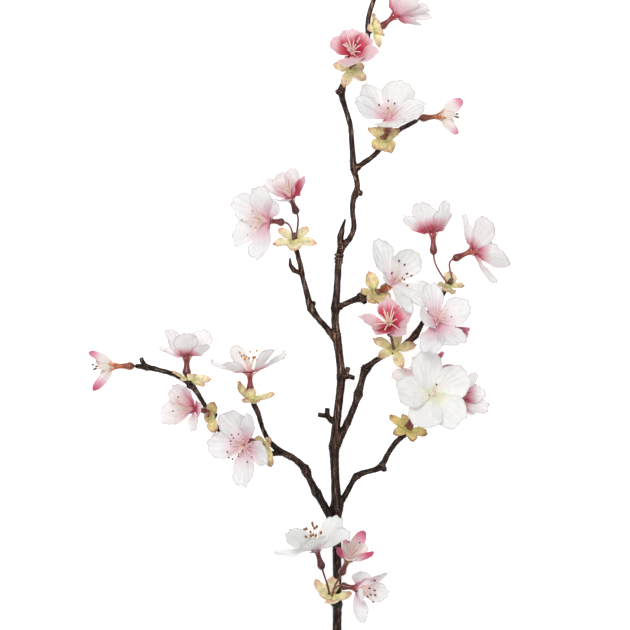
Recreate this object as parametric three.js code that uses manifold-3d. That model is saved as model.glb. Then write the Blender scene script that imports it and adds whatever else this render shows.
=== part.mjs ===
// A cut sprig of cherry blossom, lying on a flat surface.
// Millimetres. +Z is up from the surface, +Y runs from the cut end of the twig to its tip.
// Every place below is measured from the cut end: x to the right, y along the sprig, z above the surface.
// At the end the whole sprig is centred on the origin, so that it rests on z = 0.
import * as THREE from 'three';
import { mergeGeometries, mergeVertices } from 'three/addons/utils/BufferGeometryUtils.js';
import Module from 'manifold-3d';

const wasm = await Module();
wasm.setup();

// ---------------------------------------------------------------- driving dimensions

const GAP = 0.35; // between pieces that touch
const BARK = 0.15; // thickness of the bark, over the radii of the wood below
const RING_STEP = 4.5; // the most between two rings of a shoot's skin, so that its bends are round
const SPUR_RUN = 3; // how far the end of a spur runs straight into its whorl
const SPUR_RADIUS = 1.05;
const SHOOT_END_RADIUS = 1.15; // where a whole shoot ends in a whorl
const SCAR_FLATNESS = 0.5; // how thick a bud scar's ring is along the shoot, next to its radius

const CALYX_LENGTH = 8; // the straight tube below the petals
const CALYX_MOUTH = 1.35; // radii of the calyx tube
const CALYX_WAIST = 1.2;
const CALYX_BELLY = 1.75;
const SEPAL_REACH = 3.4; // from the axis to a sepal's tip
const SEPAL_NOTCH = 1.7; // from the axis to the notch between two sepals
const STALK_RADIUS = 0.5;
const CALYX_FOOT = 0.6; // radius where the stalk meets the calyx tube
const STALK_STEP = 5; // along the stalk, between two rings of its skin
const STALK_SWEEP = 0.35; // how long a stalk keeps the way it set out, as a share of its length
const STALK_SPREAD = 1.1; // from the centre of a whorl to each of the stalks that share it

const PETAL_THICKNESS = 0.7;
const PETAL_WIDTH = 0.4; // half the widest part, as a share of the length
const PETAL_CUP = 0.3; // how hollow a petal is across its width
const PETALS = 5;
const CORE_RADIUS = 1.9; // the disc that the petals grow from
const CORE_FOOT = 1.5;
const CORE_HEIGHT = 1;
const TUFT_LENGTH = 0.42; // of the stamens, as a share of a petal's length
const TUFT_WIDTH = 0.084; // radius at their tips, as a share of a petal's length
const TUFT_FOOT = 0.9;

const BRACT_LENGTH = 9;
const BRACT_WIDTH = 0.29; // half the widest part, as a share of the length
const BRACT_CUP = 0.25;
const BRACT_OPEN = 82; // degrees between a bract and the axis of its whorl
const BRACT_CURL = -24; // degrees that it bends on the way to its tip
const BRACT_THICKNESS = 0.8;
const BRACT_CORE = 1.7; // radius of the disc that the bracts grow from

// Petals and bracts are blades with one outline.
const BLADE_START = 0.9; // from the axis to where a blade begins
const BLADE_ROOM = 0.64; // half the room between its neighbours, as a share of the distance from the axis
const EDGE_ROUNDING = 0.14; // how much shorter a blade is along its edges than along its middle
const FOOT_WIDTH = 0.15; // width at the foot, as a share of the widest part
const TIP_CLOSE = 0.8; // how far the tip draws in, 1 to a point
const WIDEST_LATE = 1.1; // above 1 moves the widest part towards the tip
const SIDE_ROUNDING = 0.8; // below 1 makes the sides rounder

// How finely the surfaces are drawn: sides round an axis, or faces across and along a blade.
const SIDES = { shoot: 7, stub: 6, scar: 10, bractCore: 7, petalCore: 6, tuft: 5 };
const SCAR_BANDS = 5;
const PETAL_FACES = { across: 3, along: 3 };
const BRACT_FACES = { across: 2, along: 3 };

const REST_HEIGHT = PETAL_THICKNESS / 2 + 0.02; // of the middle of a blade that lies on the surface
const REST_BLEND = 2.5; // above and below this height, where a blade begins to bend to the surface

const COLOURS = {
  bark: 0x4a3833,
  bract: 0xd3c98a,
  calyx: 0x9c4740,
  white: 0xf3efee,
  rose: 0xd8708c,
};
const ROUGHNESS = { bark: 0.6, bract: 0.7, calyx: 0.45, petal: 0.7 };

// ---------------------------------------------------------------- where everything is

// A shoot is a row of stations: x, y, z and the radius of the wood there.
const STEM = [
  [0.3, 0, 2.35, 2.05],
  [0.4, 18, 4.6, 2.0],
  [0.7, 34, 7.6, 2.0],
  [0.5, 52, 10, 1.95],
  [0.3, 70, 11.6, 2.05],
  [0.2, 82, 12.4, 2.45],
  [-0.5, 98, 13, 1.85],
  [-0.9, 112, 13.2, 2.2],
  [0.2, 124, 13.2, 1.9],
  [1.6, 136, 13.2, 1.75],
  [2.6, 147, 13.2, 1.85],
  [1.6, 157, 13.2, 1.75],
  [0.4, 166, 13.2, 2.05],
  [-0.5, 174, 13.2, 1.65],
  [-0.3, 181, 13.3, 1.75],
  [0.7, 194, 13.5, 1.45],
  [1.3, 205, 13.6, 1.5],
  [2.8, 211.5, 13.7, 1.7],
  [6.4, 215, 13.8, 1.15],
  [8.9, 221, 13.9, 1.1],
  [8.1, 229, 13.9, 1.1],
  [8.7, 235.5, 13.8, 1.2],
  [10.5, 239.5, 13.8, 1.35],
  [10.1, 245, 13.7, 1.1],
  [8.8, 250, 13.6, 1.5],
  [7.9, 262, 13.4, 1.05],
  [7.0, 272, 13.2, 1.05],
  [4.6, 280.5, 13.1, 1.1],
  [2.5, 288.3, 13, 1.5],
  [4.2, 294, 12.8, 1.05],
  [9.5, 305, 12.6, 1.0],
  [15.4, 315.5, 12.6, 1.15],
  [16.0, 325, 12.6, 1.0],
  [18.4, 333.5, 12.6, 0.95],
  [22.2, 343, 12.6, 0.95],
  [24.6, 351, 12.6, 1.15],
  [25.4, 356.5, 12.8, 0.85],
  [25.6, 361, 13, 0.25],
];

const SHOOTS = {
  left_branch: [
    [-0.4, 70, 11.6, 1.5],
    [-3.6, 78, 12.6, 1.75],
    [-7.6, 85.5, 13.2, 1.6],
    [-10.3, 90, 13.4, 1.7],
    [-13.2, 95.6, 13.5, 1.35],
    [-15.6, 101, 13.5, 1.75],
    [-20.6, 105.8, 13.4, 1.3],
    [-27.2, 109.4, 13.2, 1.4],
    [-32.5, 113.5, 13, 1.15],
    [-36.6, 121, 13, 0.95],
    [-38.6, 128, 13.2, 1.05],
  ],
  left_arm: [
    [-27.0, 108.6, 13, 1.1],
    [-36, 108.8, 11.6, 1.0],
    [-47, 113, 11.2, 0.9],
    [-57.5, 119, 11.8, 0.8],
    [-62.2, 126.5, 12.4, 1.0],
    [-66.6, 134.5, 12.2, 0.85],
    [-71.2, 141.5, 12, 1.1],
    [-79.5, 147.4, 11.6, 1.05],
    [-88, 150, 10.6, 1.0],
    [-95, 151.6, 9.6, 1.25],
    [-99.8, 152, 9, 0.8],
  ],
  right_low_branch: [
    [1.2, 82, 12.4, 1.3],
    [4.4, 87.6, 12.9, 1.25],
    [7.4, 93, 13, 1.1],
    [10, 97.2, 13, 1.45],
    [16, 99.6, 13, 1.1],
    [22.4, 101.8, 13, 1.45],
    [25.4, 107.6, 12.7, 1.1],
    [30, 114.4, 12.6, 1.15],
  ],
  right_branch: [
    [-0.6, 111, 13.2, 1.6],
    [3, 118.5, 13.3, 1.65],
    [6.6, 126, 13.4, 1.45],
    [9.2, 132.6, 13.4, 1.4],
    [11, 138, 13.4, 1.8],
    [12.6, 144, 13.4, 1.4],
    [14.4, 150, 13.3, 1.75],
    [18.8, 154.2, 13.1, 1.2],
    [25.5, 158.2, 12.8, 1.15],
    [33.5, 162.4, 12.4, 1.2],
    [39.2, 167.2, 12, 1.5],
    [42.4, 172.6, 11.8, 1.0],
    [47.2, 180, 12, 1.2],
    [51.8, 186, 12.6, 1.2],
  ],
  right_spur: [
    [-0.2, 181, 13.3, 1.3],
    [5, 183.2, 13.4, 1.15],
    [9.6, 185.2, 13.5, 1.35],
    [12.6, 186, 13.6, 1.8],
  ],
  left_high_branch: [
    [-0.4, 165, 13.2, 1.3],
    [-4.6, 170.8, 13.5, 1.3],
    [-8.6, 175.4, 13.6, 1.15],
    [-12.3, 180.4, 13.7, 1.7],
    [-14.5, 188, 13.7, 1.2],
    [-16.5, 196, 13.7, 1.05],
    [-18, 203, 13.6, 1.0],
    [-19.4, 208.6, 13.4, 1.0],
  ],
  upper_branch: [
    [8.9, 249.6, 13.6, 1.2],
    [14, 253.4, 13.6, 1.1],
    [19, 257, 13.4, 1.05],
    [23.6, 262.2, 12.8, 1.0],
    [29.8, 268.4, 12.2, 1.0],
    [34.6, 271.4, 11.4, 0.95],
    [40.2, 274.2, 10.6, 0.8],
  ],
};

// Short woody stubs and winter buds. Each is a row of stations on the shoot that carries it.
const STUBS = [
  [[2.6, 146.5, 13.2, 1.1], [5, 148, 14, 1.0], [6, 151.4, 14.6, 1.05]],
  [[2.6, 146.5, 13.2, 1.0], [6, 147, 13.8, 0.95], [9, 146.2, 13.8, 0.9]],
  [[-0.2, 123, 13.2, 1.1], [-4.4, 127, 14, 1.05], [-4.3, 131, 14.4, 0.95]],
  [[-0.8, 124.6, 13.2, 1.0], [-5.2, 127.3, 13.8, 1.0], [-9, 127.8, 13.6, 0.9]],
  [[2.4, 209.5, 13.7, 1.2], [2.2, 217, 15.2, 1.5], [3.2, 221, 15.6, 0.85], [4.4, 225, 15.4, 0.2]],
  [[-17, 198, 13.6, 0.6], [-21, 199.6, 14, 1.15], [-22.8, 202.4, 14.2, 0.8], [-23, 205.6, 14, 0.2]],
  [[-94.6, 151.4, 9.8, 0.9], [-96.4, 154, 10.6, 0.85], [-97.2, 156, 11, 0.9]],
  [[9.8, 238.6, 13.8, 1.1], [12.8, 238.2, 14, 0.95]],
  [[-12.2, 181, 13.7, 1.0], [-11, 184.2, 14.2, 0.8]],
  [[12.6, 186, 13.6, 1.2], [14.6, 183.4, 13.8, 0.9]],
  [[11.6, 185.6, 13.6, 1.2], [11.6, 188, 14.4, 0.8]],
  [[22.4, 101.4, 13, 1.1], [24.6, 100.6, 13.4, 0.9]],
  [[14.6, 150, 13.3, 1.2], [14.4, 152.4, 13.9, 1.0]],
  [[-15.8, 100.6, 13.5, 1.2], [-14.6, 102.8, 14.3, 0.9]],
  [[2.6, 288.2, 13, 1.2], [0.4, 288.8, 13.4, 0.8]],
  [[24.4, 350, 12.6, 0.9], [27.4, 353, 13.4, 0.95], [29, 356, 13.8, 0.25]],
  [[15.6, 315, 12.6, 1.0], [17, 313.4, 12.8, 0.85]],
];

// The raised rings of an old bud scar, as x, y, z and radius.
const SCAR_RINGS = [
  [1.35, 204.2, 13.6, 1.95],
  [1.65, 206.6, 13.65, 2.05],
];

// A whorl of bracts crowns a spur. It faces turn degrees round from +X and lift degrees up from the surface.
// spur is the shoot that ends in it, or the place on a shoot where a short spur of its own begins.
const WHORLS = {
  foot: { at: [-2.2, 37.4, 14.6], turn: 96, lift: 38, spin: 16, spur: [0.6, 33, 7.4, 1.6] },
  left_low: { at: [-34.6, 113, 16.6], turn: 190, lift: 30, spin: 52, spur: [-30.6, 112.2, 13, 1.1] },
  left_top: { at: [-41.6, 135.6, 13.6], turn: 105, lift: 16, spin: 20, spur: 'left_branch' },
  left_mid: { at: [-62.6, 127.6, 15.1], turn: 185, lift: 34, spin: 14, spur: [-61.4, 125.6, 12.4, 0.9] },
  left_high: { at: [-73.1, 144.9, 13.4], turn: 84, lift: 14, spin: 30, spur: [-71, 141.4, 11.8, 1.0] },
  right_low: { at: [35.6, 120.4, 15.4], turn: 62, lift: 34, spin: 12, spur: 'right_low_branch' },
  right_mid: { at: [28.8, 160.4, 15.8], turn: 110, lift: 62, spin: 20, spur: [27.6, 159.2, 12.6, 1.2] },
  right_inner: { at: [19.2, 188.4, 13.9], turn: 32, lift: 30, spin: 40, spur: 'right_spur' },
  right_high: { at: [55.4, 192, 14.2], turn: 58, lift: 30, spin: 0, spur: 'right_branch' },
  left_tip: { at: [-20.6, 214, 14], turn: 92, lift: 30, spin: 54, spur: 'left_high_branch' },
  upper_right: { at: [23.4, 264.6, 15.4], turn: 84, lift: 44, spin: 12, spur: [23, 261.6, 12.8, 1.0] },
  upper_stem: { at: [7, 299.6, 15.2], turn: 84, lift: 62, spin: 54, spur: [6, 297.4, 12.7, 1.1] },
  tip: { at: [18.6, 319.6, 13.4], turn: 22, lift: 10, spin: 0, spur: [15.6, 318.4, 12.6, 0.95] },
};

// A blossom's place is where its petals meet. turn and lift say where it faces, as for a whorl.
// length is a petal's, open is the angle between the petals and the axis, and curl is how much further they
// bend on the way to their tips. spin turns the petals round the axis.
// seat is the whorl that the stalk grows from, or a place on a shoot and the way that the stalk leaves it.
const BLOSSOMS = {
  tip_side: {
    at: [29, 326.4, 12],
    turn: 40, lift: 2, length: 17, open: 32, curl: 34, spin: 0,
    seat: 'tip',
  },
  upper_rose: {
    at: [8, 306.6, 26.5],
    turn: 96, lift: 54, length: 14.4, open: 46, curl: 22, spin: 18,
    seat: 'upper_stem',
  },
  upper_white: {
    at: [26, 274.6, 24],
    turn: 86, lift: 38, length: 20, open: 54, curl: 16, spin: 30,
    seat: 'upper_right',
  },
  upper_bud: {
    at: [52, 276.6, 9],
    turn: 6, lift: -4, length: 12, open: 34, curl: 20, spin: 18,
    seat: [40.2, 274.2, 10.6], towards: [14, -8],
  },
  left_tip_rose: {
    at: [-22.6, 235.6, 17],
    turn: 112, lift: 28, length: 16.5, open: 38, curl: 14, spin: 0,
    seat: 'left_tip',
  },
  left_tip_white: {
    at: [-33.4, 224.4, 14.2],
    turn: 174, lift: 22, length: 22, open: 52, curl: 16, spin: 10,
    seat: 'left_tip',
  },
  right_high_cup: {
    at: [48.2, 218, 12.2],
    turn: 92, lift: 4, length: 17, open: 28, curl: 32, spin: 0,
    seat: 'right_high',
  },
  right_high_side: {
    at: [67.6, 209.4, 15.4],
    turn: 24, lift: -6, length: 21.5, open: 48, curl: 20, spin: 18,
    seat: 'right_high',
  },
  right_inner_white: {
    at: [27.6, 193.4, 20.2],
    turn: 38, lift: 46, length: 21, open: 60, curl: 12, spin: 20,
    seat: 'right_inner',
  },
  right_mid_rose: {
    at: [26.4, 172, 25],
    turn: 100, lift: 56, length: 15, open: 46, curl: 22, spin: 18,
    seat: 'right_mid',
  },
  right_fork_white: {
    at: [49.8, 173.6, 31],
    turn: 75, lift: 54, length: 18.5, open: 58, curl: 12, spin: 30,
    seat: [46.4, 178.6, 13.4], towards: [200, 70],
  },
  right_fork_bud: {
    at: [58.4, 170.6, 12.4],
    turn: -20, lift: 4, length: 10.5, open: 20, curl: 14, spin: 0,
    seat: [47.7, 179.9, 10.4], towards: [-40, -10],
  },
  right_low_white: {
    at: [47.6, 138.6, 32],
    turn: 40, lift: 76, length: 21, open: 74, curl: 8, spin: 60,
    seat: 'right_low',
  },
  right_low_cup: {
    at: [60.6, 136, 9.4],
    turn: -6, lift: 2, length: 16, open: 30, curl: 12, spin: 10,
    seat: 'right_low',
  },
  right_low_rose: {
    at: [43, 147, 14],
    turn: 80, lift: 4, length: 14.5, open: 50, curl: 14, spin: 30,
    seat: 'right_low',
  },
  left_end_bud: {
    at: [-111.2, 152, 7.6],
    turn: 180, lift: -2, length: 13, open: 24, curl: 20, spin: 18,
    seat: [-99.8, 152, 9], towards: [180, -10],
  },
  left_high_cup: {
    at: [-74.4, 156.5, 12.8],
    turn: 90, lift: 4, length: 17.5, open: 30, curl: 32, spin: 18,
    seat: 'left_high',
  },
  left_mid_blush: {
    at: [-70.8, 130.8, 26.2],
    turn: 172, lift: 34, length: 18.5, open: 48, curl: 12, spin: 20,
    seat: 'left_mid',
  },
  left_top_white: {
    at: [-43, 148.6, 14.6],
    turn: 92, lift: 10, length: 19, open: 56, curl: 18, spin: 18,
    seat: 'left_top',
  },
  left_low_white: {
    at: [-44.8, 113.4, 24.5],
    turn: 200, lift: 62, length: 20, open: 66, curl: 10, spin: 68,
    seat: 'left_low',
  },
  foot_white: {
    at: [-9.8, 61.4, 26],
    turn: 106, lift: 20, length: 21.5, open: 64, curl: 14, spin: 1,
    seat: 'foot',
  },
  foot_rose: {
    at: [5.8, 56, 21.6],
    turn: 66, lift: 26, length: 15, open: 34, curl: 14, spin: 0,
    seat: 'foot',
  },
  foot_side: {
    at: [10, 41.8, 19.4],
    turn: -8, lift: 14, length: 17, open: 44, curl: 20, spin: 0,
    seat: 'foot',
  },
};

// ---------------------------------------------------------------- helpers

const radians = THREE.MathUtils.degToRad;
const WELD = 1e-3; // points nearer than this are one point
const STRAIGHT = 1e-6; // stands for no bend at all, which the arc below cannot divide by

// A closed three.js geometry as a solid that can be joined and cut.
function solidOf(geometry) {
  const bare = geometry.clone();
  bare.deleteAttribute('normal');
  bare.deleteAttribute('uv');
  const merged = mergeVertices(bare, WELD);
  const corners = Array.from(merged.index.array);
  const faces = [];
  for (let i = 0; i < corners.length; i += 3) {
    const [a, b, c] = corners.slice(i, i + 3);
    if (a !== b && b !== c && a !== c) faces.push(a, b, c);
  }
  return new wasm.Manifold(
    new wasm.Mesh({
      numProp: 3,
      vertProperties: merged.attributes.position.array,
      triVerts: new Uint32Array(faces),
    }),
  );
}

// The solids joined into one, as a three.js geometry.
function joined(geometries) {
  const solid = geometries.map(solidOf).reduce((whole, piece) => whole.add(piece));
  const mesh = solid.getMesh();
  const geometry = new THREE.BufferGeometry();
  geometry.setAttribute('position', new THREE.BufferAttribute(new Float32Array(mesh.vertProperties), 3));
  geometry.setIndex(new THREE.BufferAttribute(new Uint32Array(mesh.triVerts), 1));
  return geometry;
}

// The unit vector turn degrees round from +X and lift degrees above the surface.
function facing(turn, lift) {
  const flat = Math.cos(radians(lift));
  return new THREE.Vector3(
    flat * Math.cos(radians(turn)),
    flat * Math.sin(radians(turn)),
    Math.sin(radians(lift)),
  );
}

// A group at a place whose own +Z faces turn and lift.
function placedGroup(at, turn, lift) {
  const group = new THREE.Group();
  group.position.set(...at);
  group.rotation.set(0, radians(90 - lift), radians(turn), 'ZYX');
  group.updateMatrixWorld(true);
  return group;
}

// A sweep's skin is set out from this direction, which no shoot or stalk runs along.
const REFERENCE = new THREE.Vector3(0.31, 0.22, 0.93);

// A round solid swept through points, with a radius at each. shape may vary the radius round the axis.
function turnedAlong(points, radii, sides, shape = () => 1) {
  const last = points.length - 1;
  const outline = radii.map((radius, ring) => new THREE.Vector2(radius, ring));
  const geometry = new THREE.LatheGeometry(
    [new THREE.Vector2(0, 0), ...outline, new THREE.Vector2(0, last)],
    sides,
  );

  // The way across the sweep is carried from each ring to the next, so that the skin does not twist.
  const across = REFERENCE.clone();
  const frames = points.map((point, ring) => {
    const along = points[Math.min(ring + 1, last)].clone().sub(points[Math.max(ring - 1, 0)]).normalize();
    across.addScaledVector(along, -across.dot(along)).normalize();
    return { across: across.clone(), side: along.clone().cross(across) };
  });
  const position = geometry.getAttribute('position');
  const point = new THREE.Vector3();
  for (let i = 0; i < position.count; i++) {
    const ring = Math.round(position.getY(i));
    const x = position.getX(i);
    const z = position.getZ(i);
    const wide = shape(ring, Math.atan2(z, x));
    point.copy(points[ring]);
    point.addScaledVector(frames[ring].side, x * wide);
    point.addScaledVector(frames[ring].across, z * wide);
    position.setXYZ(i, point.x, point.y, point.z);
  }
  return geometry;
}

// A shoot through its stations, with a ring at each one and more where they are far apart.
function shootGeometry(stations, sides = SIDES.shoot) {
  const curve = new THREE.CatmullRomCurve3(
    stations.map(([x, y, z]) => new THREE.Vector3(x, y, z)),
    false,
    'centripetal',
  );
  const spans = stations.length - 1;
  const points = [];
  const radii = [];
  for (let span = 0; span < spans; span++) {
    const rings = Math.ceil(curve.points[span].distanceTo(curve.points[span + 1]) / RING_STEP);
    for (let ring = 0; ring < rings; ring++) {
      points.push(curve.getPoint((span + ring / rings) / spans));
      radii.push(BARK + THREE.MathUtils.lerp(stations[span][3], stations[span + 1][3], ring / rings));
    }
  }
  points.push(curve.getPoint(1));
  radii.push(BARK + stations[spans][3]);
  return turnedAlong(points, radii, sides);
}

// Bends a blade that would pass through the surface, so that it lies along the surface instead.
function restingHeight(z) {
  const above = z - REST_HEIGHT;
  if (above > REST_BLEND) return z;
  if (above < -REST_BLEND) return REST_HEIGHT;
  return REST_HEIGHT + (above + REST_BLEND) ** 2 / (4 * REST_BLEND);
}

// Half the width of a blade at a share of its length: narrow at first, then a broad rounded end.
function halfWidth(share, widest) {
  const swell = Math.sin(Math.PI * TIP_CLOSE * share ** WIDEST_LATE) ** SIDE_ROUNDING;
  return widest * THREE.MathUtils.lerp(FOOT_WIDTH, 1, swell);
}

// A petal or bract: a closed shell round a curved blade that grows from the origin and leans out towards +X.
// open and curl are in degrees, and toWorld carries the blade into the sprig, where it may meet the surface.
function bladeGeometry({ length, widest, open, curl, cup, thickness, faces: { across, along } }, toWorld) {
  const blade = new THREE.PlaneGeometry(2, 1, across, along);
  const position = blade.getAttribute('position');
  const start = radians(open);
  const bend = radians(curl) || STRAIGHT;
  const toLocal = toWorld.clone().invert();
  const point = new THREE.Vector3();
  for (let i = 0; i < position.count; i++) {
    const side = position.getX(i);
    const share = (position.getY(i) + 0.5) * (1 - EDGE_ROUNDING * side ** 2);
    const lean = start + bend * share;
    const out = BLADE_START + (length * (Math.cos(start) - Math.cos(lean))) / bend;
    const up = (length * (Math.sin(lean) - Math.sin(start))) / bend;
    const half = Math.min(halfWidth(share, widest), BLADE_ROOM * out);
    const rise = (cup * (half * side) ** 2) / widest;
    point.set(out - rise * Math.cos(lean), half * side, up + rise * Math.sin(lean));
    point.applyMatrix4(toWorld);
    point.z = restingHeight(point.z);
    point.applyMatrix4(toLocal);
    position.setXYZ(i, point.x, point.y, point.z);
  }
  blade.computeVertexNormals();
  return shellOf(blade, across, along, thickness);
}

// The two faces of a blade, thickest inside and meeting along its edge.
function shellOf(blade, across, along, thickness) {
  const faces = [1, -1].map((side) => {
    const face = blade.clone();
    const position = face.getAttribute('position');
    const normal = face.getAttribute('normal');
    for (let i = 0; i < position.count; i++) {
      const column = i % (across + 1);
      const row = Math.floor(i / (across + 1));
      const edge = column === 0 || column === across || row === 0 || row === along;
      const offset = edge ? 0 : (side * thickness) / 2;
      position.setXYZ(
        i,
        position.getX(i) + normal.getX(i) * offset,
        position.getY(i) + normal.getY(i) * offset,
        position.getZ(i) + normal.getZ(i) * offset,
      );
    }
    if (side < 0) {
      const corners = Array.from(face.index.array);
      for (let i = 0; i < corners.length; i += 3) corners.splice(i, 2, corners[i + 1], corners[i]);
      face.setIndex(corners);
    }
    return face;
  });
  return mergeGeometries(faces);
}

function addMesh(group, name, geometry, colour, roughness) {
  const material = new THREE.MeshStandardMaterial({ color: colour, roughness, metalness: 0 });
  const mesh = new THREE.Mesh(geometry, material);
  mesh.name = name;
  group.add(mesh);
  return mesh;
}

// ---------------------------------------------------------------- the twig

// The last stations of a spur run straight into its whorl.
function spurEnd({ at, turn, lift }, radius) {
  const place = new THREE.Vector3(...at);
  const back = place.clone().addScaledVector(facing(turn, lift), -SPUR_RUN);
  return [
    [...back.toArray(), radius],
    [...place.toArray(), radius],
  ];
}

function twigGeometry() {
  const solids = [shootGeometry(STEM)];
  const shoots = structuredClone(SHOOTS);
  for (const whorl of Object.values(WHORLS)) {
    if (typeof whorl.spur === 'string') {
      shoots[whorl.spur].push(...spurEnd(whorl, SHOOT_END_RADIUS));
    } else {
      solids.push(shootGeometry([whorl.spur, ...spurEnd(whorl, SPUR_RADIUS)]));
    }
  }
  for (const stations of Object.values(shoots)) solids.push(shootGeometry(stations));
  for (const stations of STUBS) solids.push(shootGeometry(stations, SIDES.stub));
  for (const [x, y, z, radius] of SCAR_RINGS) {
    const ring = new THREE.SphereGeometry(BARK + radius, SIDES.scar, SCAR_BANDS);
    ring.scale(1, SCAR_FLATNESS, 1);
    solids.push(ring.translate(x, y, z));
  }
  return joined(solids);
}

// ---------------------------------------------------------------- whorls of bracts

function bractGeometry(toWorld, spin) {
  const disc = new THREE.CylinderGeometry(BRACT_CORE, BRACT_CORE, BRACT_THICKNESS, SIDES.bractCore);
  disc.rotateX(Math.PI / 2).translate(0, 0, GAP + BRACT_THICKNESS / 2);
  const pieces = [disc];
  for (let k = 0; k < PETALS; k++) {
    const turn = new THREE.Matrix4().makeRotationZ(radians(spin + (360 / PETALS) * k));
    turn.setPosition(0, 0, GAP + BRACT_THICKNESS / 2);
    const blade = bladeGeometry(
      {
        length: BRACT_LENGTH,
        widest: BRACT_LENGTH * BRACT_WIDTH,
        open: BRACT_OPEN,
        curl: BRACT_CURL,
        cup: BRACT_CUP,
        thickness: BRACT_THICKNESS,
        faces: BRACT_FACES,
      },
      toWorld.clone().multiply(turn),
    );
    pieces.push(blade.applyMatrix4(turn));
  }
  return joined(pieces);
}

// ---------------------------------------------------------------- stalks

// The way that a blossom leans from the middle of its whorl, in the whorl's own plane.
function leanOf({ at, seat }) {
  const { at: middle, turn, lift } = WHORLS[seat];
  const place = placedGroup(middle, turn, lift).worldToLocal(new THREE.Vector3(...at));
  return new THREE.Vector2(place.x, place.y).normalize();
}

// Where a stalk begins and the way it sets out. Stalks that share a whorl stand evenly round its centre, in
// the order in which they lean away from their common direction, so that none crosses another.
function seatOf(blossom) {
  if (typeof blossom.seat !== 'string') {
    const way = facing(...blossom.towards);
    return { start: new THREE.Vector3(...blossom.seat).addScaledVector(way, GAP), way };
  }
  const sharing = Object.values(BLOSSOMS).filter(({ seat }) => seat === blossom.seat);
  const common = sharing.map(leanOf).reduce((sum, lean) => sum.add(lean), new THREE.Vector2());
  const apart = ({ at, seat }) => {
    const lean = leanOf({ at, seat });
    return Math.atan2(common.cross(lean), common.dot(lean));
  };
  sharing.sort((one, other) => apart(one) - apart(other));
  const rank = sharing.indexOf(blossom) - (sharing.length - 1) / 2;
  const angle = common.angle() + (2 * Math.PI * rank) / sharing.length;
  const spread = sharing.length > 1 ? STALK_SPREAD : 0;
  const whorl = WHORLS[blossom.seat];
  const start = new THREE.Vector3(
    spread * Math.cos(angle),
    spread * Math.sin(angle),
    2 * GAP + BRACT_THICKNESS,
  ).applyMatrix4(placedGroup(whorl.at, whorl.turn, whorl.lift).matrixWorld);
  return { start, way: facing(whorl.turn, whorl.lift) };
}

// The outline of the calyx tube, as a height above its foot and the radius there.
const CALYX = [
  [0, CALYX_FOOT],
  [1.4, CALYX_BELLY],
  [4, CALYX_WAIST],
  [6.8, CALYX_MOUTH],
  [CALYX_LENGTH, (SEPAL_REACH + SEPAL_NOTCH) / 2],
];
const SEPAL_SWING = (SEPAL_REACH - SEPAL_NOTCH) / (SEPAL_REACH + SEPAL_NOTCH);

// A thin stalk that swells into the calyx tube and opens into five pointed sepals.
function stalkGeometry(blossom) {
  const { start, way } = seatOf(blossom);
  const axis = facing(blossom.turn, blossom.lift);
  const foot = new THREE.Vector3(...blossom.at).addScaledVector(axis, -GAP - CALYX_LENGTH);
  const reach = start.distanceTo(foot) * STALK_SWEEP;
  const thin = new THREE.CubicBezierCurve3(
    start,
    start.clone().addScaledVector(way, reach),
    foot.clone().addScaledVector(axis, -reach),
    foot,
  );
  const rings = Math.max(1, Math.round(thin.getLength() / STALK_STEP));
  const points = thin.getSpacedPoints(rings).slice(0, rings);
  const radii = points.map(() => STALK_RADIUS);
  for (const [height, radius] of CALYX) {
    points.push(foot.clone().addScaledVector(axis, height));
    radii.push(radius);
  }
  const rim = points.length - 1;
  return turnedAlong(points, radii, 2 * PETALS, (ring, around) =>
    ring === rim ? 1 + SEPAL_SWING * Math.cos(PETALS * around) : 1,
  );
}

// ---------------------------------------------------------------- petals

// Five petals joined at a small disc, with the tuft of stamens standing as one solid in the middle.
function petalGeometry({ length, open, curl, spin }, toWorld) {
  const disc = new THREE.CylinderGeometry(CORE_RADIUS, CORE_FOOT, CORE_HEIGHT, SIDES.petalCore);
  disc.rotateX(Math.PI / 2).translate(0, 0, CORE_HEIGHT / 2);
  const tuftLength = TUFT_LENGTH * length;
  const tuft = new THREE.CylinderGeometry(TUFT_WIDTH * length, TUFT_FOOT, tuftLength, SIDES.tuft);
  tuft.rotateX(Math.PI / 2).translate(0, 0, (CORE_HEIGHT + tuftLength) / 2);
  const pieces = [disc, tuft];
  for (let k = 0; k < PETALS; k++) {
    const turn = new THREE.Matrix4().makeRotationZ(radians(spin + (360 / PETALS) * k));
    turn.setPosition(0, 0, CORE_HEIGHT / 2);
    const blade = bladeGeometry(
      {
        length,
        widest: length * PETAL_WIDTH,
        open,
        curl,
        cup: PETAL_CUP,
        thickness: PETAL_THICKNESS,
        faces: PETAL_FACES,
      },
      toWorld.clone().multiply(turn),
    );
    pieces.push(blade.applyMatrix4(turn));
  }
  return joined(pieces);
}

// ---------------------------------------------------------------- assembly

const sprig = new THREE.Group();

addMesh(sprig, 'twig', twigGeometry(), COLOURS.bark, ROUGHNESS.bark);

for (const [name, whorl] of Object.entries(WHORLS)) {
  const group = placedGroup(whorl.at, whorl.turn, whorl.lift);
  const bracts = bractGeometry(group.matrixWorld, whorl.spin);
  addMesh(group, `bracts_${name}`, bracts, COLOURS.bract, ROUGHNESS.bract);
  sprig.add(group);
}

for (const [name, blossom] of Object.entries(BLOSSOMS)) {
  addMesh(sprig, `stalk_${name}`, stalkGeometry(blossom), COLOURS.calyx, ROUGHNESS.calyx);
  const group = placedGroup(blossom.at, blossom.turn, blossom.lift);
  const colour = name.includes('rose') || name.includes('bud') ? COLOURS.rose : COLOURS.white;
  addMesh(group, `petals_${name}`, petalGeometry(blossom, group.matrixWorld), colour, ROUGHNESS.petal);
  sprig.add(group);
}

// The origin is the middle of the surface that the sprig covers.
sprig.updateMatrixWorld(true);
const box = new THREE.Box3().setFromObject(sprig, true);
const middle = box.getCenter(new THREE.Vector3());
sprig.position.set(-middle.x, -middle.y, -box.min.z);

export default sprig;
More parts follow.
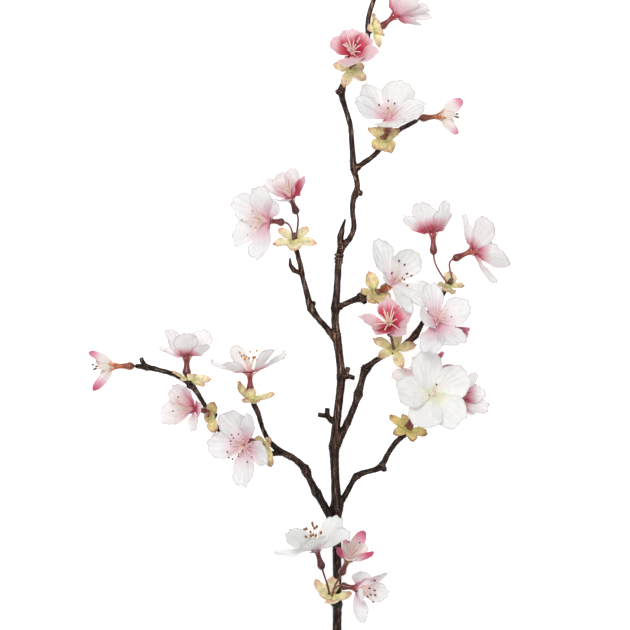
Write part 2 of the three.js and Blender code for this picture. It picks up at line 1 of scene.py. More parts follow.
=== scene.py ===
"""A cut sprig of cherry blossom, lying on a pale floor and seen from straight above.

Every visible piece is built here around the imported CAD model. Lengths in the tables are millimetres and
angles are degrees: turn is measured round from +X and lift above the floor.
"""

from math import acos, atan2, copysign, cos, degrees, hypot, pi, radians, sin

import bmesh
import bpy
import numpy as np
from mathutils import Matrix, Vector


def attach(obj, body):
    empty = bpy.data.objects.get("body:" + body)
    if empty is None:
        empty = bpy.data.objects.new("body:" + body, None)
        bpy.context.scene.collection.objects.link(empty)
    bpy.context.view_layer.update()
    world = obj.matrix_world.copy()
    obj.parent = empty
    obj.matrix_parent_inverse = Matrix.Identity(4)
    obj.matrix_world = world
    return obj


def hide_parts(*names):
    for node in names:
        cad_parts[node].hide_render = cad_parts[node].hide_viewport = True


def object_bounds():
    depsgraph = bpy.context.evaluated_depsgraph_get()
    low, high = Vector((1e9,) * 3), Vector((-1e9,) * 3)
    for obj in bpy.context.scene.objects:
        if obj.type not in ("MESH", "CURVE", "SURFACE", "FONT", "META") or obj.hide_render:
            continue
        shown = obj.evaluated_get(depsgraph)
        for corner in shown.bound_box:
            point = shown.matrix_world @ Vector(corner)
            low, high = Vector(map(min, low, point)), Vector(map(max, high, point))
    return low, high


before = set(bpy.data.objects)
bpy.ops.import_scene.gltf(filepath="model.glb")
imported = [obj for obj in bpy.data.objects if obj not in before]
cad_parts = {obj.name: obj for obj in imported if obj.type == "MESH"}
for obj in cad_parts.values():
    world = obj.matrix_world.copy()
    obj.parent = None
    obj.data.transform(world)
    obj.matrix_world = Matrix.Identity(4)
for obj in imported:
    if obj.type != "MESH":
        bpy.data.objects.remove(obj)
cad_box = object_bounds()

MM = 0.001
GAP = 0.35  # between the pieces of the CAD model, mm
UP = np.array([0.0, 0.0, 1.0])
TINY = 1e-12

# ---- the whorls of bracts


def blade(turn, reach, width, lift=None, flat=None, pale=0.0):
    """One petal or bract: the way that it points and how far it reaches, both seen from above, and how wide.

    lift is left out where it leans as its neighbours do. flat is how far it turns its flat side to the sky,
    and pale moves its colours towards those of its tip, or of its foot where it is below zero."""
    return dict(turn=turn, reach=reach, width=width, lift=lift, flat=flat, pale=pale)


# turn and lift say which way a whorl faces. tone is 0 for a cream whorl and 1 for an olive one. bud is true
# where the shoot ends in a small bud that shows between the stalks. The rest differs from BRACT_FORM.
WHORLS = {
    "foot": dict(
        turn=96, lift=38, tone=0.0, flat=0.1, flare=-0.22,
        bracts=[blade(142, 10.5, 6.5), blade(190, 5, 7), blade(86, 8, 7), blade(2, 9.5, 6),
                blade(276, 3.6, 8)],
    ),
    "left_low": dict(
        turn=190, lift=30, tone=0.55,
        bracts=[blade(151, 6.2, 5, flat=0.7), blade(280, 9.2, 6, flat=0.7), blade(20, 1.5, 4),
                blade(80, 2.5, 4), blade(225, 4, 4)],
    ),
    "left_top": dict(
        turn=105, lift=16, tone=0.2, flat=0.1, flare=-0.2,
        bracts=[blade(137, 10.5, 6, 8, flat=0.4), blade(104, 4.6, 6, 34), blade(6, 11, 4.5, 8, flat=0.35),
                blade(205, 3.5, 6), blade(330, 4, 6)],
    ),
    "left_mid": dict(
        turn=185, lift=34, tone=0.6,
        bracts=[blade(70, 5.8, 6, flat=0.8), blade(190, 2.5, 4), blade(288, 7.5, 6, flat=0.8),
                blade(20, 2, 4), blade(240, 3, 4)],
    ),
    "left_high": dict(
        turn=84, lift=14, tone=0.05,
        bracts=[blade(144, 8.5, 3, 10), blade(6, 9.6, 6.5, 12), blade(342, 7.5, 6.5, -8),
                blade(172, 3.6, 4, 20), blade(60, 4, 5, 50)],
    ),
    "right_low": dict(
        turn=62, lift=34, tone=0.95,
        bracts=[blade(139, 10.6, 5.5), blade(102, 7.3, 5.5), blade(350, 8.6, 6), blade(195, 6.4, 5.5),
                blade(303, 4.6, 6)],
    ),
    "right_mid": dict(
        turn=110, lift=62, tone=0.4,
        bracts=[blade(151, 10.3, 5.2), blade(71, 7.5, 4.6), blade(13, 9.3, 5.2), blade(294, 9.2, 5.4),
                blade(205, 7.5, 5.2)],
    ),
    "right_inner": dict(
        turn=32, lift=30, tone=0.4,
        bracts=[blade(105, 9.5, 7, flat=0.85), blade(172, 6.8, 4, flat=0.6), blade(296, 5.5, 7),
                blade(340, 8.6, 6.5), blade(236, 5, 7)],
    ),
    "right_high": dict(
        turn=58, lift=30, tone=0.25, bud=True,
        bracts=[blade(72, 7, 7, flat=0.7), blade(3, 7.5, 3.5), blade(168, 4, 4), blade(310, 3.5, 5),
                blade(235, 2.5, 5)],
    ),
    "left_tip": dict(
        turn=92, lift=30, tone=0.0, bud=True,
        bracts=[blade(184, 9.6, 5.5, 22), blade(137, 9.6, 5.2), blade(50, 9.4, 5.2),
                blade(-3, 9.6, 5.5, 22), blade(270, 3.6, 8)],
    ),
    "upper_right": dict(
        turn=84, lift=44, tone=0.55, flat=0.15, flare=0.02, claw=0.8, foot=-1.4,
        bracts=[blade(141, 11.6, 6), blade(108, 8, 5), blade(29, 11.8, 6), blade(303, 8.6, 8.5, 32),
                blade(233, 8, 8.5, 32)],
    ),
    "upper_stem": dict(
        turn=84, lift=62, tone=0.12,
        bracts=[blade(166, 7.6, 5.6), blade(250, 8.5, 5.6), blade(325, 8, 5.6), blade(15, 6, 5),
                blade(105, 6, 5)],
    ),
    "tip": dict(
        turn=22, lift=10, tone=0.0,
        bracts=[blade(88, 7, 5, 12), blade(288, 8.5, 5.5, 10), blade(50, 4.5, 6, 40),
                blade(340, 5, 6.5, 30), blade(180, 3, 5, 50)],
    ),
}

# ---- the blossoms


def tuft(count, length, anthers, gold, thick=0.2, anther=1.0, spread=36):
    """A blossom's stamens: how many and how long, the share with an anther, and how golden the anthers are.

    thick is the radius of a filament, anther the size of an anther and spread how far the tuft opens."""
    return dict(
        count=count, length=length, anthers=anthers, gold=gold, thick=thick, anther=anther, spread=spread,
    )


# turn and lift say which way a blossom faces, and whorl what its stalk grows from. way is how the stalk sets
# out, where that isn't the way that the whorl faces. finish names the colours of the petals, and pale is
# added to that of each one. The rest differs from PETAL_FORM or CALYX_FORM.
BLOSSOMS = {
    "tip_side": dict(
        turn=40, lift=2, whorl="tip", finish="blush", lean=34, flat=0.35, flare=0.08, cup=0.32,
        light=0.8, tube=1.15, stamens=tuft(8, 6, 0.0, 0.5),
        petals=[blade(88, 16, 14, -20), blade(54, 17, 15, 32, pale=0.3),
                blade(20, 17.5, 9, 12, pale=0.25), blade(4, 18, 7, 2, pale=0.5),
                blade(-13, 13.5, 6, 24, pale=-0.1)],
    ),
    "upper_rose": dict(
        turn=96, lift=54, whorl="upper_stem", finish="rose", lean=52, cup=0.4,
        stamens=tuft(18, 10, 0.06, 0.2, thick=0.34, spread=62),
        petals=[blade(97, 12, 13, pale=0.1), blade(150, 11.6, 12.5, pale=0.25),
                blade(46, 11.4, 13, pale=0.1), blade(-2, 10.8, 11.5, pale=0.35),
                blade(262, 5.2, 14, 66, pale=0.75)],
    ),
    "upper_white": dict(
        turn=86, lift=38, whorl="upper_right", finish="white", lean=56, bow=0.06, flare=0.04, cup=0.25,
        warmth=1.0, light=0.7, size=1.15, stem=1.15, waist=1.9, sepal=2.2,
        stamens=tuft(14, 10, 0.25, 0.1, thick=0.26, spread=54, anther=0.9),
        petals=[blade(124, 20.5, 16), blade(149, 18.5, 12, flat=0.6), blade(68, 20.5, 17),
                blade(21, 18.5, 14, flat=0.2), blade(285, 4, 16, 60)],
    ),
    "upper_bud": dict(
        turn=6, lift=-4, way=(14, -8), finish="tipped", lean=34, flat=0.5, bow=0.14, flare=0.0, cup=0.4,
        warmth=1.0, light=0.6, tube=1.3, stamens=tuft(7, 8.5, 0.4, 0.0, spread=20),
        petals=[blade(34, 12.8, 7.5, 14, pale=-0.04), blade(-44, 11.4, 7, 8, pale=-0.2),
                blade(6, 7, 4.5, 22, pale=-0.7), blade(18, 7.5, 5, -14, pale=-0.7),
                blade(-20, 7, 5, -12, pale=-0.7)],
    ),
    "left_tip_rose": dict(
        turn=112, lift=28, whorl="left_tip", finish="blush", lean=42, flat=0.25, flare=0.04, warmth=0.0,
        light=0.0, tube=1.15, stamens=tuft(12, 11, 0.05, 0.3, thick=0.3, spread=34),
        petals=[blade(143, 14.4, 11.5, pale=0.3), blade(116, 13, 12, 4, pale=0.22),
                blade(88, 14.4, 9, 6, pale=0.2), blade(58, 11.4, 9, 36, pale=-0.3),
                blade(186, 5.5, 9, 58, flat=0.3, pale=0.3)],
    ),
    "left_tip_white": dict(
        turn=174, lift=22, whorl="left_tip", finish="pink_throat", pale=0.03, lean=56, bow=0.06, cup=0.22,
        warmth=0.05, stamens=tuft(17, 13, 0.3, 0.3, thick=0.33, spread=42, anther=0.7),
        petals=[blade(151, 21.5, 15), blade(204, 21, 17.5), blade(112, 17, 11.5, flat=0.75),
                blade(248, 19.5, 11.5, flat=0.75), blade(72, 9.5, 9, 30, flat=0.6)],
    ),
    "right_high_cup": dict(
        turn=92, lift=4, whorl="right_high", way=(124, 40), finish="pink_foot", pale=-0.11, lean=32,
        flat=0.35, bow=0.13, flare=0.04, cup=0.36, warmth=0.2, light=0.7, tube=1.3,
        stamens=tuft(6, 6, 0.0, 0.3),
        petals=[blade(149, 16.4, 7.5, 10, flat=0.6), blade(110, 17, 13.5, 22), blade(72, 17, 9.5, 26),
                blade(54, 13, 7.5, 0), blade(92, 11, 13, -24)],
    ),
    "right_high_side": dict(
        turn=24, lift=-6, whorl="right_high", finish="pink_foot", pale=0.09, lean=48, flat=0.4, bow=0.08,
        cup=0.28, warmth=0.35, light=0.8, tube=1.3, stamens=tuft(6, 6, 0.0, 0.3),
        petals=[blade(100, 18.2, 6.5, 6, flat=0.3), blade(60, 17.9, 13.5, 34), blade(-12, 19, 14.5, 28),
                blade(-54, 19.2, 7, 4, flat=0.4), blade(24, 11, 12, -36)],
    ),
    "right_inner_white": dict(
        turn=38, lift=46, whorl="right_inner", finish="white", pale=0.12, lean=60, bow=0.06, cup=0.28,
        warmth=0.85, light=0.7, size=1.2, stem=1.2, waist=1.85,
        stamens=tuft(13, 13, 0.75, 0.3, anther=1.05),
        petals=[blade(107, 21.5, 12.5, flat=0.7), blade(51, 19, 17, 12, pale=0.15),
                blade(-23, 21.5, 15.5, pale=0.1), blade(-55, 15.8, 7, flat=0.4, pale=0.1),
                blade(150, 3.4, 9, 62)],
    ),
    "right_mid_rose": dict(
        turn=100, lift=56, whorl="right_mid", finish="rose", lean=50, cup=0.4, notch=-0.16,
        stem=0.7, stamens=tuft(15, 11, 0.0, 0.5, thick=0.34, spread=50),
        petals=[blade(93, 12.4, 12, pale=0.15), blade(160, 13.2, 10, pale=0.5),
                blade(34, 11, 12, pale=0.15), blade(-20, 6.6, 11, 58, pale=0.3),
                blade(208, 6, 13, 52, pale=0.1)],
    ),
    "right_fork_white": dict(
        turn=75, lift=54, way=(200, 70), finish="pink_throat", pale=0.04, lean=60, bow=0.07, cup=0.25,
        claw=0.6, warmth=0.3, stamens=tuft(17, 10, 0.35, 0.15, thick=0.32, spread=56, anther=0.8),
        petals=[blade(98, 19.5, 12, pale=-0.1), blade(31, 18, 15), blade(-42, 14.8, 14),
                blade(253, 14.5, 12.5), blade(158, 7.5, 15, 44)],
    ),
    "right_fork_bud": dict(
        turn=-20, lift=4, way=(-40, -10), finish="magenta", lean=24, bow=0.06, flare=0.06, cup=0.6,
        warmth=0.0, size=0.45, stamens=tuft(5, 7, 0.3, 0.1, spread=24),
        petals=[blade(-6, 8, 2.6, 10), blade(-34, 9, 2.6, 4), blade(-20, 8, 3, 20),
                blade(-12, 8, 2.4, -10), blade(-27, 8, 2.4, -10)],
    ),
    "right_low_white": dict(
        turn=40, lift=76, whorl="right_low", finish="cream_throat", lean=72, bow=0.05, flare=0.03,
        cup=0.2, claw=0.64, warmth=0.3, stem=0.85,
        stamens=tuft(7, 5, 0.45, 0.2, thick=0.14, spread=66, anther=0.8),
        petals=[blade(102, 21, 17.5), blade(29, 19.5, 18), blade(-46, 19.5, 18, pale=-0.12),
                blade(250, 17, 18), blade(176, 17.8, 17)],
    ),
    "right_low_cup": dict(
        turn=-6, lift=2, whorl="right_low", finish="pink_foot", pale=0.03, lean=34, flat=0.35, flare=0.04,
        cup=0.36, warmth=0.2, stem=0.85, stamens=tuft(6, 6, 0.0, 0.3),
        petals=[blade(52, 15, 6, 12, flat=0.6), blade(10, 14, 9.5, 32, pale=-0.2),
                blade(-15, 16.4, 9.5, 22, pale=-0.1), blade(26, 11, 8, -14),
                blade(-36, 11, 7, -10, pale=-0.3)],
    ),
    "right_low_rose": dict(
        turn=80, lift=4, whorl="right_low", finish="blush", lean=50, bow=0.08, flare=0.06,
        stem=0.85, stamens=tuft(10, 11, 0.0, 0.5),
        petals=[blade(180, 15, 7.5, 2, flat=0.9, pale=0.15), blade(21, 18.8, 4, 8, flat=0.5, pale=-0.8),
                blade(55, 15.6, 4, 4, flat=0.5, pale=-0.7), blade(110, 10, 10, -8), blade(140, 7, 9, 6)],
    ),
    "left_end_bud": dict(
        turn=180, lift=-2, way=(180, -10), finish="tipped", lean=30, flat=0.5, bow=0.13, flare=0.03,
        cup=0.4, warmth=0.9, light=0.9, tube=1.3, stamens=tuft(9, 10, 0.6, 0.1, spread=20),
        petals=[blade(153, 13.2, 6, 12, pale=-0.1), blade(228, 14.8, 5.6, 8, pale=0.12),
                blade(180, 7, 4.5, 20, pale=-0.7), blade(160, 9, 7, -12, pale=-0.7),
                blade(204, 7, 5, -10, pale=-0.5)],
    ),
    "left_high_cup": dict(
        turn=90, lift=4, whorl="left_high", finish="pink_foot", pale=0.07, lean=34, flat=0.45, bow=0.11,
        cup=0.34, warmth=0.3, light=0.25, size=1.1, stem=1.1, tube=1.15, stamens=tuft(7, 7, 0.1, 0.1),
        petals=[blade(158, 13.5, 6, 8), blade(121, 16.4, 11.5, -8), blade(92, 12.6, 12.5, 44),
                blade(54, 16.4, 12.5, -8), blade(30, 12, 9, 22)],
    ),
    "left_mid_blush": dict(
        turn=172, lift=34, whorl="left_mid", finish="blush", lean=48, bow=0.08, cup=0.28,
        light=0.6, size=0.78, stem=0.9,
        stamens=tuft(16, 12, 0.15, 0.14, thick=0.33, spread=46, anther=0.8),
        petals=[blade(138, 14.8, 12.5, pale=0.1), blade(190, 16.4, 15, pale=0.35), blade(112, 10, 9),
                blade(271, 10.2, 6.5, 10, flat=0.5, pale=0.3), blade(2, 3.4, 9, 64, pale=-0.25)],
    ),
    "left_top_white": dict(
        turn=92, lift=10, whorl="left_top", finish="pink_foot", pale=0.1, lean=56, flat=0.3, flare=0.06,
        cup=0.3, warmth=0.15, light=0.8, stem=1.1, tube=1.25, stamens=tuft(13, 12, 0.85, 0.9, spread=32),
        petals=[blade(159, 19.8, 5.5, 2), blade(153, 14, 9, 34), blade(118, 15.2, 12.5, -8, pale=0.15),
                blade(52, 17.3, 9.5, 32), blade(32, 20.2, 5, 6)],
    ),
    "left_low_white": dict(
        turn=200, lift=62, whorl="left_low", finish="pink_throat", pale=0.03, lean=66, bow=0.06,
        flare=0.04, cup=0.22, claw=0.6, warmth=0.2, stem=0.9,
        stamens=tuft(20, 10, 0.7, 0.15, thick=0.29, spread=58, anther=0.85),
        petals=[blade(123, 18.5, 15.5), blade(84, 14.2, 8), blade(183, 18.6, 14), blade(264, 20.2, 14),
                blade(-34, 12.5, 13)],
    ),
    "foot_white": dict(
        turn=106, lift=20, whorl="foot", finish="white", lean=64, flat=0.3, bow=0.04, flare=0.06,
        cup=0.25, warmth=0.0, light=0.0, tube=1.4,
        stamens=tuft(14, 12.5, 0.9, 0.55, anther=1.35, spread=38),
        petals=[blade(184, 20.8, 5.5, 2, flat=0.45, pale=0.3), blade(145, 17, 11, 34, flat=0.7, pale=0.3),
                blade(31, 17, 11, 34, pale=0.2), blade(56, 19, 12.5, -4, pale=0.3),
                blade(104, 6, 14, 58, pale=0.3)],
    ),
    "foot_rose": dict(
        turn=66, lift=26, whorl="foot", finish="tipped", lean=36, flat=0.3, bow=0.12, flare=0.04, cup=0.4,
        warmth=0.75, light=0.1, tube=1.15,
        stamens=tuft(13, 11, 0.3, 0.05, thick=0.28, spread=30, anther=0.8),
        petals=[blade(61, 15.8, 7, 6, flat=0.6), blade(132, 7, 5, 20, flat=0.5, pale=0.6),
                blade(20, 12.5, 4.6, 20, pale=0.2), blade(94, 9.5, 5, 0, pale=-0.2),
                blade(40, 11, 7.5, 2, flat=0.7, pale=-0.5)],
    ),
    "foot_side": dict(
        turn=-8, lift=14, whorl="foot", finish="pink_throat", lean=44, flat=0.35, cup=0.34,
        light=0.4, stamens=tuft(12, 11, 0.35, 0.3, spread=30),
        petals=[blade(-78, 17, 8, 2, flat=0.6), blade(-11, 16.2, 10.5, -14),
                blade(19, 16.8, 6.5, 10, pale=-0.15), blade(64, 8.2, 11, 24, flat=0.8, pale=0.1),
                blade(-50, 6, 8, 46, pale=0.2)],
    ),
}

# A petal's colours from its foot to its tip, as stops of a ramp, and those of its veins and its rim. The rim
# is a colour of its own on the rose, blush, tipped and magenta finishes, and a grey line of painted shade
# along the outline on the white, cream and pink-centred ones. rim is how much the rim shows.
FINISHES = {
    "white": dict(
        stops=[(0.0, (232, 158, 176)), (0.2, (243, 208, 217)),
               (0.42, (248, 245, 246)), (1.0, (246, 248, 246))],
        veins=(226, 229, 226), rim=0.9, rim_colour_and_painted_outline=(194, 199, 196),
    ),
    "cream_throat": dict(
        stops=[(0.0, (240, 236, 200)), (0.11, (248, 246, 228)),
               (0.25, (250, 249, 246)), (1.0, (249, 249, 248))],
        veins=(234, 233, 230), rim=0.9, rim_colour_and_painted_outline=(208, 210, 207),
    ),
    "pink_throat": dict(
        stops=[(0.0, (222, 124, 150)), (0.17, (236, 190, 204)),
               (0.38, (246, 228, 234)), (0.62, (249, 248, 248))],
        veins=(228, 208, 216), rim=0.85, rim_colour_and_painted_outline=(198, 197, 200),
    ),
    "pink_foot": dict(
        stops=[(0.0, (156, 40, 62)), (0.18, (196, 76, 104)),
               (0.35, (236, 188, 199)), (0.5, (249, 246, 246))],
        veins=(222, 206, 210), rim=0.9, rim_colour_and_painted_outline=(186, 180, 182),
    ),
    "blush": dict(
        stops=[(0.0, (172, 44, 72)), (0.18, (208, 98, 126)),
               (0.42, (236, 186, 198)), (0.85, (249, 243, 243))],
        veins=(208, 126, 146), rim=0.8, rim_colour_and_painted_outline=(214, 196, 200),
    ),
    "rose": dict(
        stops=[(0.0, (170, 28, 56)), (0.35, (198, 52, 82)),
               (0.6, (220, 100, 124)), (0.88, (246, 212, 218))],
        veins=(184, 50, 80), rim=1.0, rim_colour_and_painted_outline=(246, 230, 232),
    ),
    "tipped": dict(
        stops=[(0.0, (250, 240, 224)), (0.5, (250, 240, 238)),
               (0.72, (234, 164, 184)), (0.96, (206, 84, 124))],
        veins=(230, 186, 194), rim=0.5, rim_colour_and_painted_outline=(190, 134, 156),
    ),
    "magenta": dict(
        stops=[(0.0, (130, 36, 56)), (0.5, (176, 64, 92)),
               (1.0, (232, 170, 180))],
        veins=(120, 30, 50), rim=0.2, rim_colour_and_painted_outline=(230, 160, 180),
    ),
}

# ---- shapes of the parts of a blossom

# How a petal is shaped. From claw on, the numbers are shares of its length, or for claw and cup of its width.
PETAL_FORM = dict(
    columns=23,  # points across it
    rows=27,  # points along it
    thickness=0.22,
    longest=24.0,
    foot=1.0,  # how far from the axis of its blossom it starts
    up=0.4,  # and how far along the axis
    lean=50,  # the usual angle between it and the axis
    flat=0.0,  # how far it turns its flat side to the sky
    twist=9.0,  # how far it turns round its own length, so that its neighbour passes under it
    claw=0.42,  # the width of its foot
    widest=0.6,  # where it is widest
    notch=0.045,  # depth of the notch in its tip, or below zero the height of a point there
    bow=0.1,  # how hollow it is along its length
    cup=0.35,  # how hollow it is across
    flare=0.05,  # how far its tip turns out
    ruffle=0.04,  # height of the waves in its rim
    nicks=0.016,  # how uneven its outline is
    pleat=0.011,  # height of the folds that fan out from its foot
)
USUAL_TINT = 0.5  # of a petal that is neither paler nor deeper than its finish

# The finishes of the blossoms that are still closed, and what is different about their petals.
CLOSED_FINISHES = ("tipped", "magenta")
CLOSED_PETAL = dict(claw=0.62, widest=0.42, notch=0.0, ruffle=0.012, nicks=0.004, pleat=0.004)
BRACT_FORM = dict(
    PETAL_FORM, columns=15, rows=21, thickness=0.5, longest=10.5, foot=0.8, up=GAP + 0.3, lean=66, flat=0.35,
    twist=5.0, claw=0.66, widest=0.5, notch=-0.05, flare=0.1, ruffle=0.03, pleat=0.012,
)

# How much the petals of a blossom differ from one another, and the bracts of a whorl: the least and the most
# that is added.
PETAL_STRAY = dict(flare=(-0.03, 0.03), bow=(-0.02, 0.02), tint=(-0.05, 0.05))
BRACT_STRAY = dict(flare=(-0.06, 0.1), bow=(-0.05, 0.05))

# The waves of a blade's outline and of its rim: how quickly they come, how strong they are, and which of
# its phases they have.
OUTLINE_WAVES = [(7, 1.0, 4), (13, 0.7, 5), (17, 0.6, 3)]
RIM_WAVES = [(3, 1.0, 0), (5, 0.6, 1), (9, 0.35, 2)]
PHASES = 6
RIM_HINGE = 0.3  # the waves spread from a point this far short of the middle
PLEATS = 18
PLEAT_HINGE = 0.25  # the folds spread from a point this far short of the foot
PLEAT_START = 0.05  # where they begin
PLEAT_FULL = 0.5  # where they are deepest
PLEAT_PHASE = 3
NOTCH_WIDTH = 0.16
NOTCH_START = 0.55  # how far along the notch still shortens a petal
FLARE_START = 0.45

LOWEST = 0.35  # how close to the floor a petal or bract comes
FLOOR_BLEND = 2.5  # the height over which it bends to lie along the floor
LEAST_SLOPE = 0.2  # the least share of a blade's length that shows as its reach
NUDGE = 1e-6  # keeps the way out from the axis from being nothing
UPTURN = 1e-3  # makes the upper side of a blade its inside where its axis doesn't say which one is

# The discs that petals and bracts grow from: heights along the axis and the radius at each.
PETAL_DISC = [(0.0, 1.0), (0.25, 1.7), (0.6, 1.8), (0.9, 1.3), (1.0, 0.5)]
BRACT_DISC = [(GAP, 1.2), (GAP + 0.1, 1.9), (GAP + 0.5, 2.25), (GAP + 0.9, 2.0), (GAP + 1.0, 1.1)]
DISC_SIDES = 20
DISC_COLOUR = 0.05  # how far along a petal's colours its own is
COLLAR_COLOUR = 0.15  # how far along a bract's
BUD_RISE = 3.3  # from the end of the shoot to the middle of the bud
BUD_SIZE = 2.7  # next to an anther
BUD_SHADE = 0.5

# The calyx tube: heights above its foot and the radius at each.
CALYX = [
    (0.0, 0.6), (0.35, 1.15), (0.9, 1.75), (1.6, 2.05), (2.3, 2.0), (3.2, 1.65), (4.3, 1.35),
    (5.4, 1.25), (6.4, 1.4), (7.2, 1.75),
]
CALYX_LENGTH = 8.0
CALYX_SIDES = 60
CALYX_FORM = dict(
    warmth=0.1,  # 0 for a maroon one and 1 for an orange one
    light=0.35,  # how light its colour is, from 0 to 1
    size=1.0,  # how wide it is next to the others
    tube=1.0,  # how long the tube is next to the others
    waist=0.0,  # the least radius of the tube past its swelling
    sepal=4.2,  # length of a sepal
    stem=0.5,  # radius of the stalk
)
SWELLING_END = 2.0  # the height where the tube's swelling ends
SEPALS = 5
SEPAL_NOTCH = 0.3  # how far from the mouth the notch between two sepals is
SEPAL_POINT = 1.3  # above 1 makes a sepal more pointed

# The rings of the sepals, out along their outside and back along their inside: how far out each one is as a
# share, how high above the end of the tube, and how far along the calyx's colours.
SEPAL_RINGS = [
    (0.35, 0.3, 0.87), (0.7, 0.3, 0.94), (1.0, 0.3, 1.0),
    (0.7, 0.62, 0.94), (0.35, 0.62, 0.87), (0.0, 0.62, 0.8),
]
CALYX_FLOOR = (0.5, -0.3, 0.75)  # the last ring: its radius, how high above the mouth it is, and its colour
CALYX_COLOURS = (0.4, 0.8)  # how far along its colours a tube starts and ends. The stalk has those before.

STALK_SWEEP = 0.35  # how long a stalk keeps the way it set out, as a share of its length
STALK_POINTS = 26
STALK_SIDES = 12
STALK_END = 0.8  # how far it goes on inside the calyx tube
STALK_HEEL = (0.5, 0.06)  # how much thicker it starts, and over what share of its length
STALK_WAVE = (0.06, 9.0)  # how uneven its thickness is, and how quickly that comes and goes

ANTHER_RADIUS = 0.38
ANTHER_LENGTH = 0.72
ANTHER_RINGS = 6
ANTHER_SIDES = 8
ANTHER_TAPER = 0.92  # below 1, so that its ends are blunt
ANTHER_CREASE = 0.25  # how far from round it is
FILAMENT_POINTS = 8
FILAMENT_SIDES = 6
FILAMENT_FOOT = (0.7, 0.5)  # how far from the axis it starts, and how far along it
FILAMENT_SWEEP = (0.5, 0.2)  # how long it keeps to the axis where it starts and to its own way where it ends
FILAMENT_TAPER = (1.25, 0.75)  # its radius at both ends, next to that in the middle

# How much the stamens of a tuft differ, as the least and the most of what they have.
STAMEN_STRAY = dict(around=(-0.3, 0.3), spread=(0.15, 1.0), length=(0.62, 1.0), gold=(-0.12, 0.12))


def unit(vector):
    return vector / np.linalg.norm(vector)


def units(vectors):
    """Each row of an array of vectors at length one."""
    return vectors / np.maximum(np.linalg.norm(vectors, axis=-1, keepdims=True), TINY)


def column(values):
    return np.reshape(values, (-1, 1))


def facing(turn, lift):
    """The unit vector turn degrees round from +X and lift degrees above the floor."""
    flat = cos(radians(lift))
    return np.array([flat * cos(radians(turn)), flat * sin(radians(turn)), sin(radians(lift))])


def smoothstep(low, high, value):
    share = np.clip((value - low) / (high - low), 0, 1)
    return share * share * (3 - 2 * share)


def lift_for(turn, axis, lean):
    """The lift at which what points to turn makes the angle lean with the axis, or comes nearest to it."""
    ahead = axis[0] * cos(radians(turn)) + axis[1] * sin(radians(turn))
    share = cos(radians(lean)) / hypot(ahead, axis[2])
    return degrees(atan2(axis[2], ahead)) - degrees(acos(max(-1.0, min(1.0, share))))


def resting(height):
    """Bends what would pass through the floor, so that it lies along the floor instead."""
    above = height - LOWEST * MM
    blend = FLOOR_BLEND * MM
    bent = LOWEST * MM + (above + blend) ** 2 / (4 * blend)
    return np.where(above > blend, height, np.where(above < -blend, LOWEST * MM, bent))


# ---- building meshes


def read(items, what, width, kind=float):
    """What each vertex or edge of a mesh says of itself, as the rows of an array."""
    values = np.zeros(width * len(items), kind)
    items.foreach_get(what, values)
    return values.reshape(-1, width)


class Shape:
    """Collects the surfaces of one piece. marks are three numbers at each point, for the material to read."""

    def __init__(self):
        self.points = []
        self.marks = []
        self.faces = []
        self.rims = []
        self.count = 0

    def add(self, points, faces, marks, rim=None):
        """Adds a surface. rim is true for the points between which its edges are sharp."""
        self.points.append(points)
        self.marks.append(marks)
        self.faces.extend([[corner + self.count for corner in face] for face in faces])
        self.rims.append(np.zeros(len(points), bool) if rim is None else rim)
        self.count += len(points)

    def piece(self, name, material, slot, *nodes):
        mesh = bpy.data.meshes.new(name)
        mesh.from_pydata(np.concatenate(self.points).tolist(), [], self.faces)
        mesh.polygons.foreach_set("use_smooth", [True] * len(mesh.polygons))
        ends = read(mesh.edges, "vertices", 2, int)
        mesh.edges.foreach_set("use_edge_sharp", np.concatenate(self.rims)[ends].all(1))
        write_marks(mesh, np.concatenate(self.marks))
        new_piece(name, mesh, material, slot, *nodes)


def write_marks(mesh, marks):
    colours = np.ones((len(marks), 4), np.float32)
    colours[:, :3] = marks
    layer = mesh.attributes.new("marks", "FLOAT_COLOR", "POINT")
    layer.data.foreach_set("color", colours.ravel())


def new_object(name, data):
    obj = bpy.data.objects.new(name, data)
    bpy.context.scene.collection.objects.link(obj)
    return obj


def new_piece(name, mesh, material, slot, *nodes):
    """Adds a piece with its material, riding on the sprig and standing for its CAD nodes."""
    obj = new_object(name, mesh)
    mesh.materials.append(material)
    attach(obj, "root")
    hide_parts(*nodes)


def grid_faces(ids, closed=False):
    """The quads between neighbouring rows and columns of a grid of point numbers."""
    ahead = np.roll(ids, -1, axis=1)
    if not closed:
        ids, ahead = ids[:, :-1], ahead[:, :-1]
    quads = np.stack([ids[:-1], ahead[:-1], ahead[1:], ids[1:]], axis=-1)
    return quads.reshape(-1, 4).tolist()


def add_sheet(shape, points, marks, thickness):
    """A thin closed shell round a grid of points: thick inside, and meeting along its rim."""
    rows, columns = points.shape[:2]
    normals = units(np.cross(np.gradient(points, axis=1), np.gradient(points, axis=0)))
    rim = np.zeros((rows, columns), bool)
    rim[[0, -1], :] = True
    rim[:, [0, -1]] = True
    offset = normals * np.where(rim, 0, thickness * MM / 2)[..., None]
    front = np.arange(rows * columns).reshape(rows, columns)
    back = front.copy()
    back[~rim] = rows * columns + np.arange((~rim).sum())
    shape.add(
        np.concatenate([(points + offset).reshape(-1, 3), (points - offset)[~rim]]),
        grid_faces(front) + [quad[::-1] for quad in grid_faces(back)],
        np.concatenate([marks.reshape(-1, 3), marks[~rim]]),
        np.concatenate([rim.ravel(), np.zeros((~rim).sum(), bool)]),
    )


def axes_across(direction):
    """Two unit vectors that stand square to a direction and to each other."""
    helper = UP if abs(direction[2]) < 0.9 else np.array([1.0, 0.0, 0.0])
    one = unit(np.cross(helper, direction))
    return one, np.cross(direction, one)


def circle(one, other, around, radius=1.0):
    """Points round a circle in the plane of two unit vectors. around holds their angles."""
    return np.outer(radius * np.cos(around), one) + np.outer(radius * np.sin(around), other)


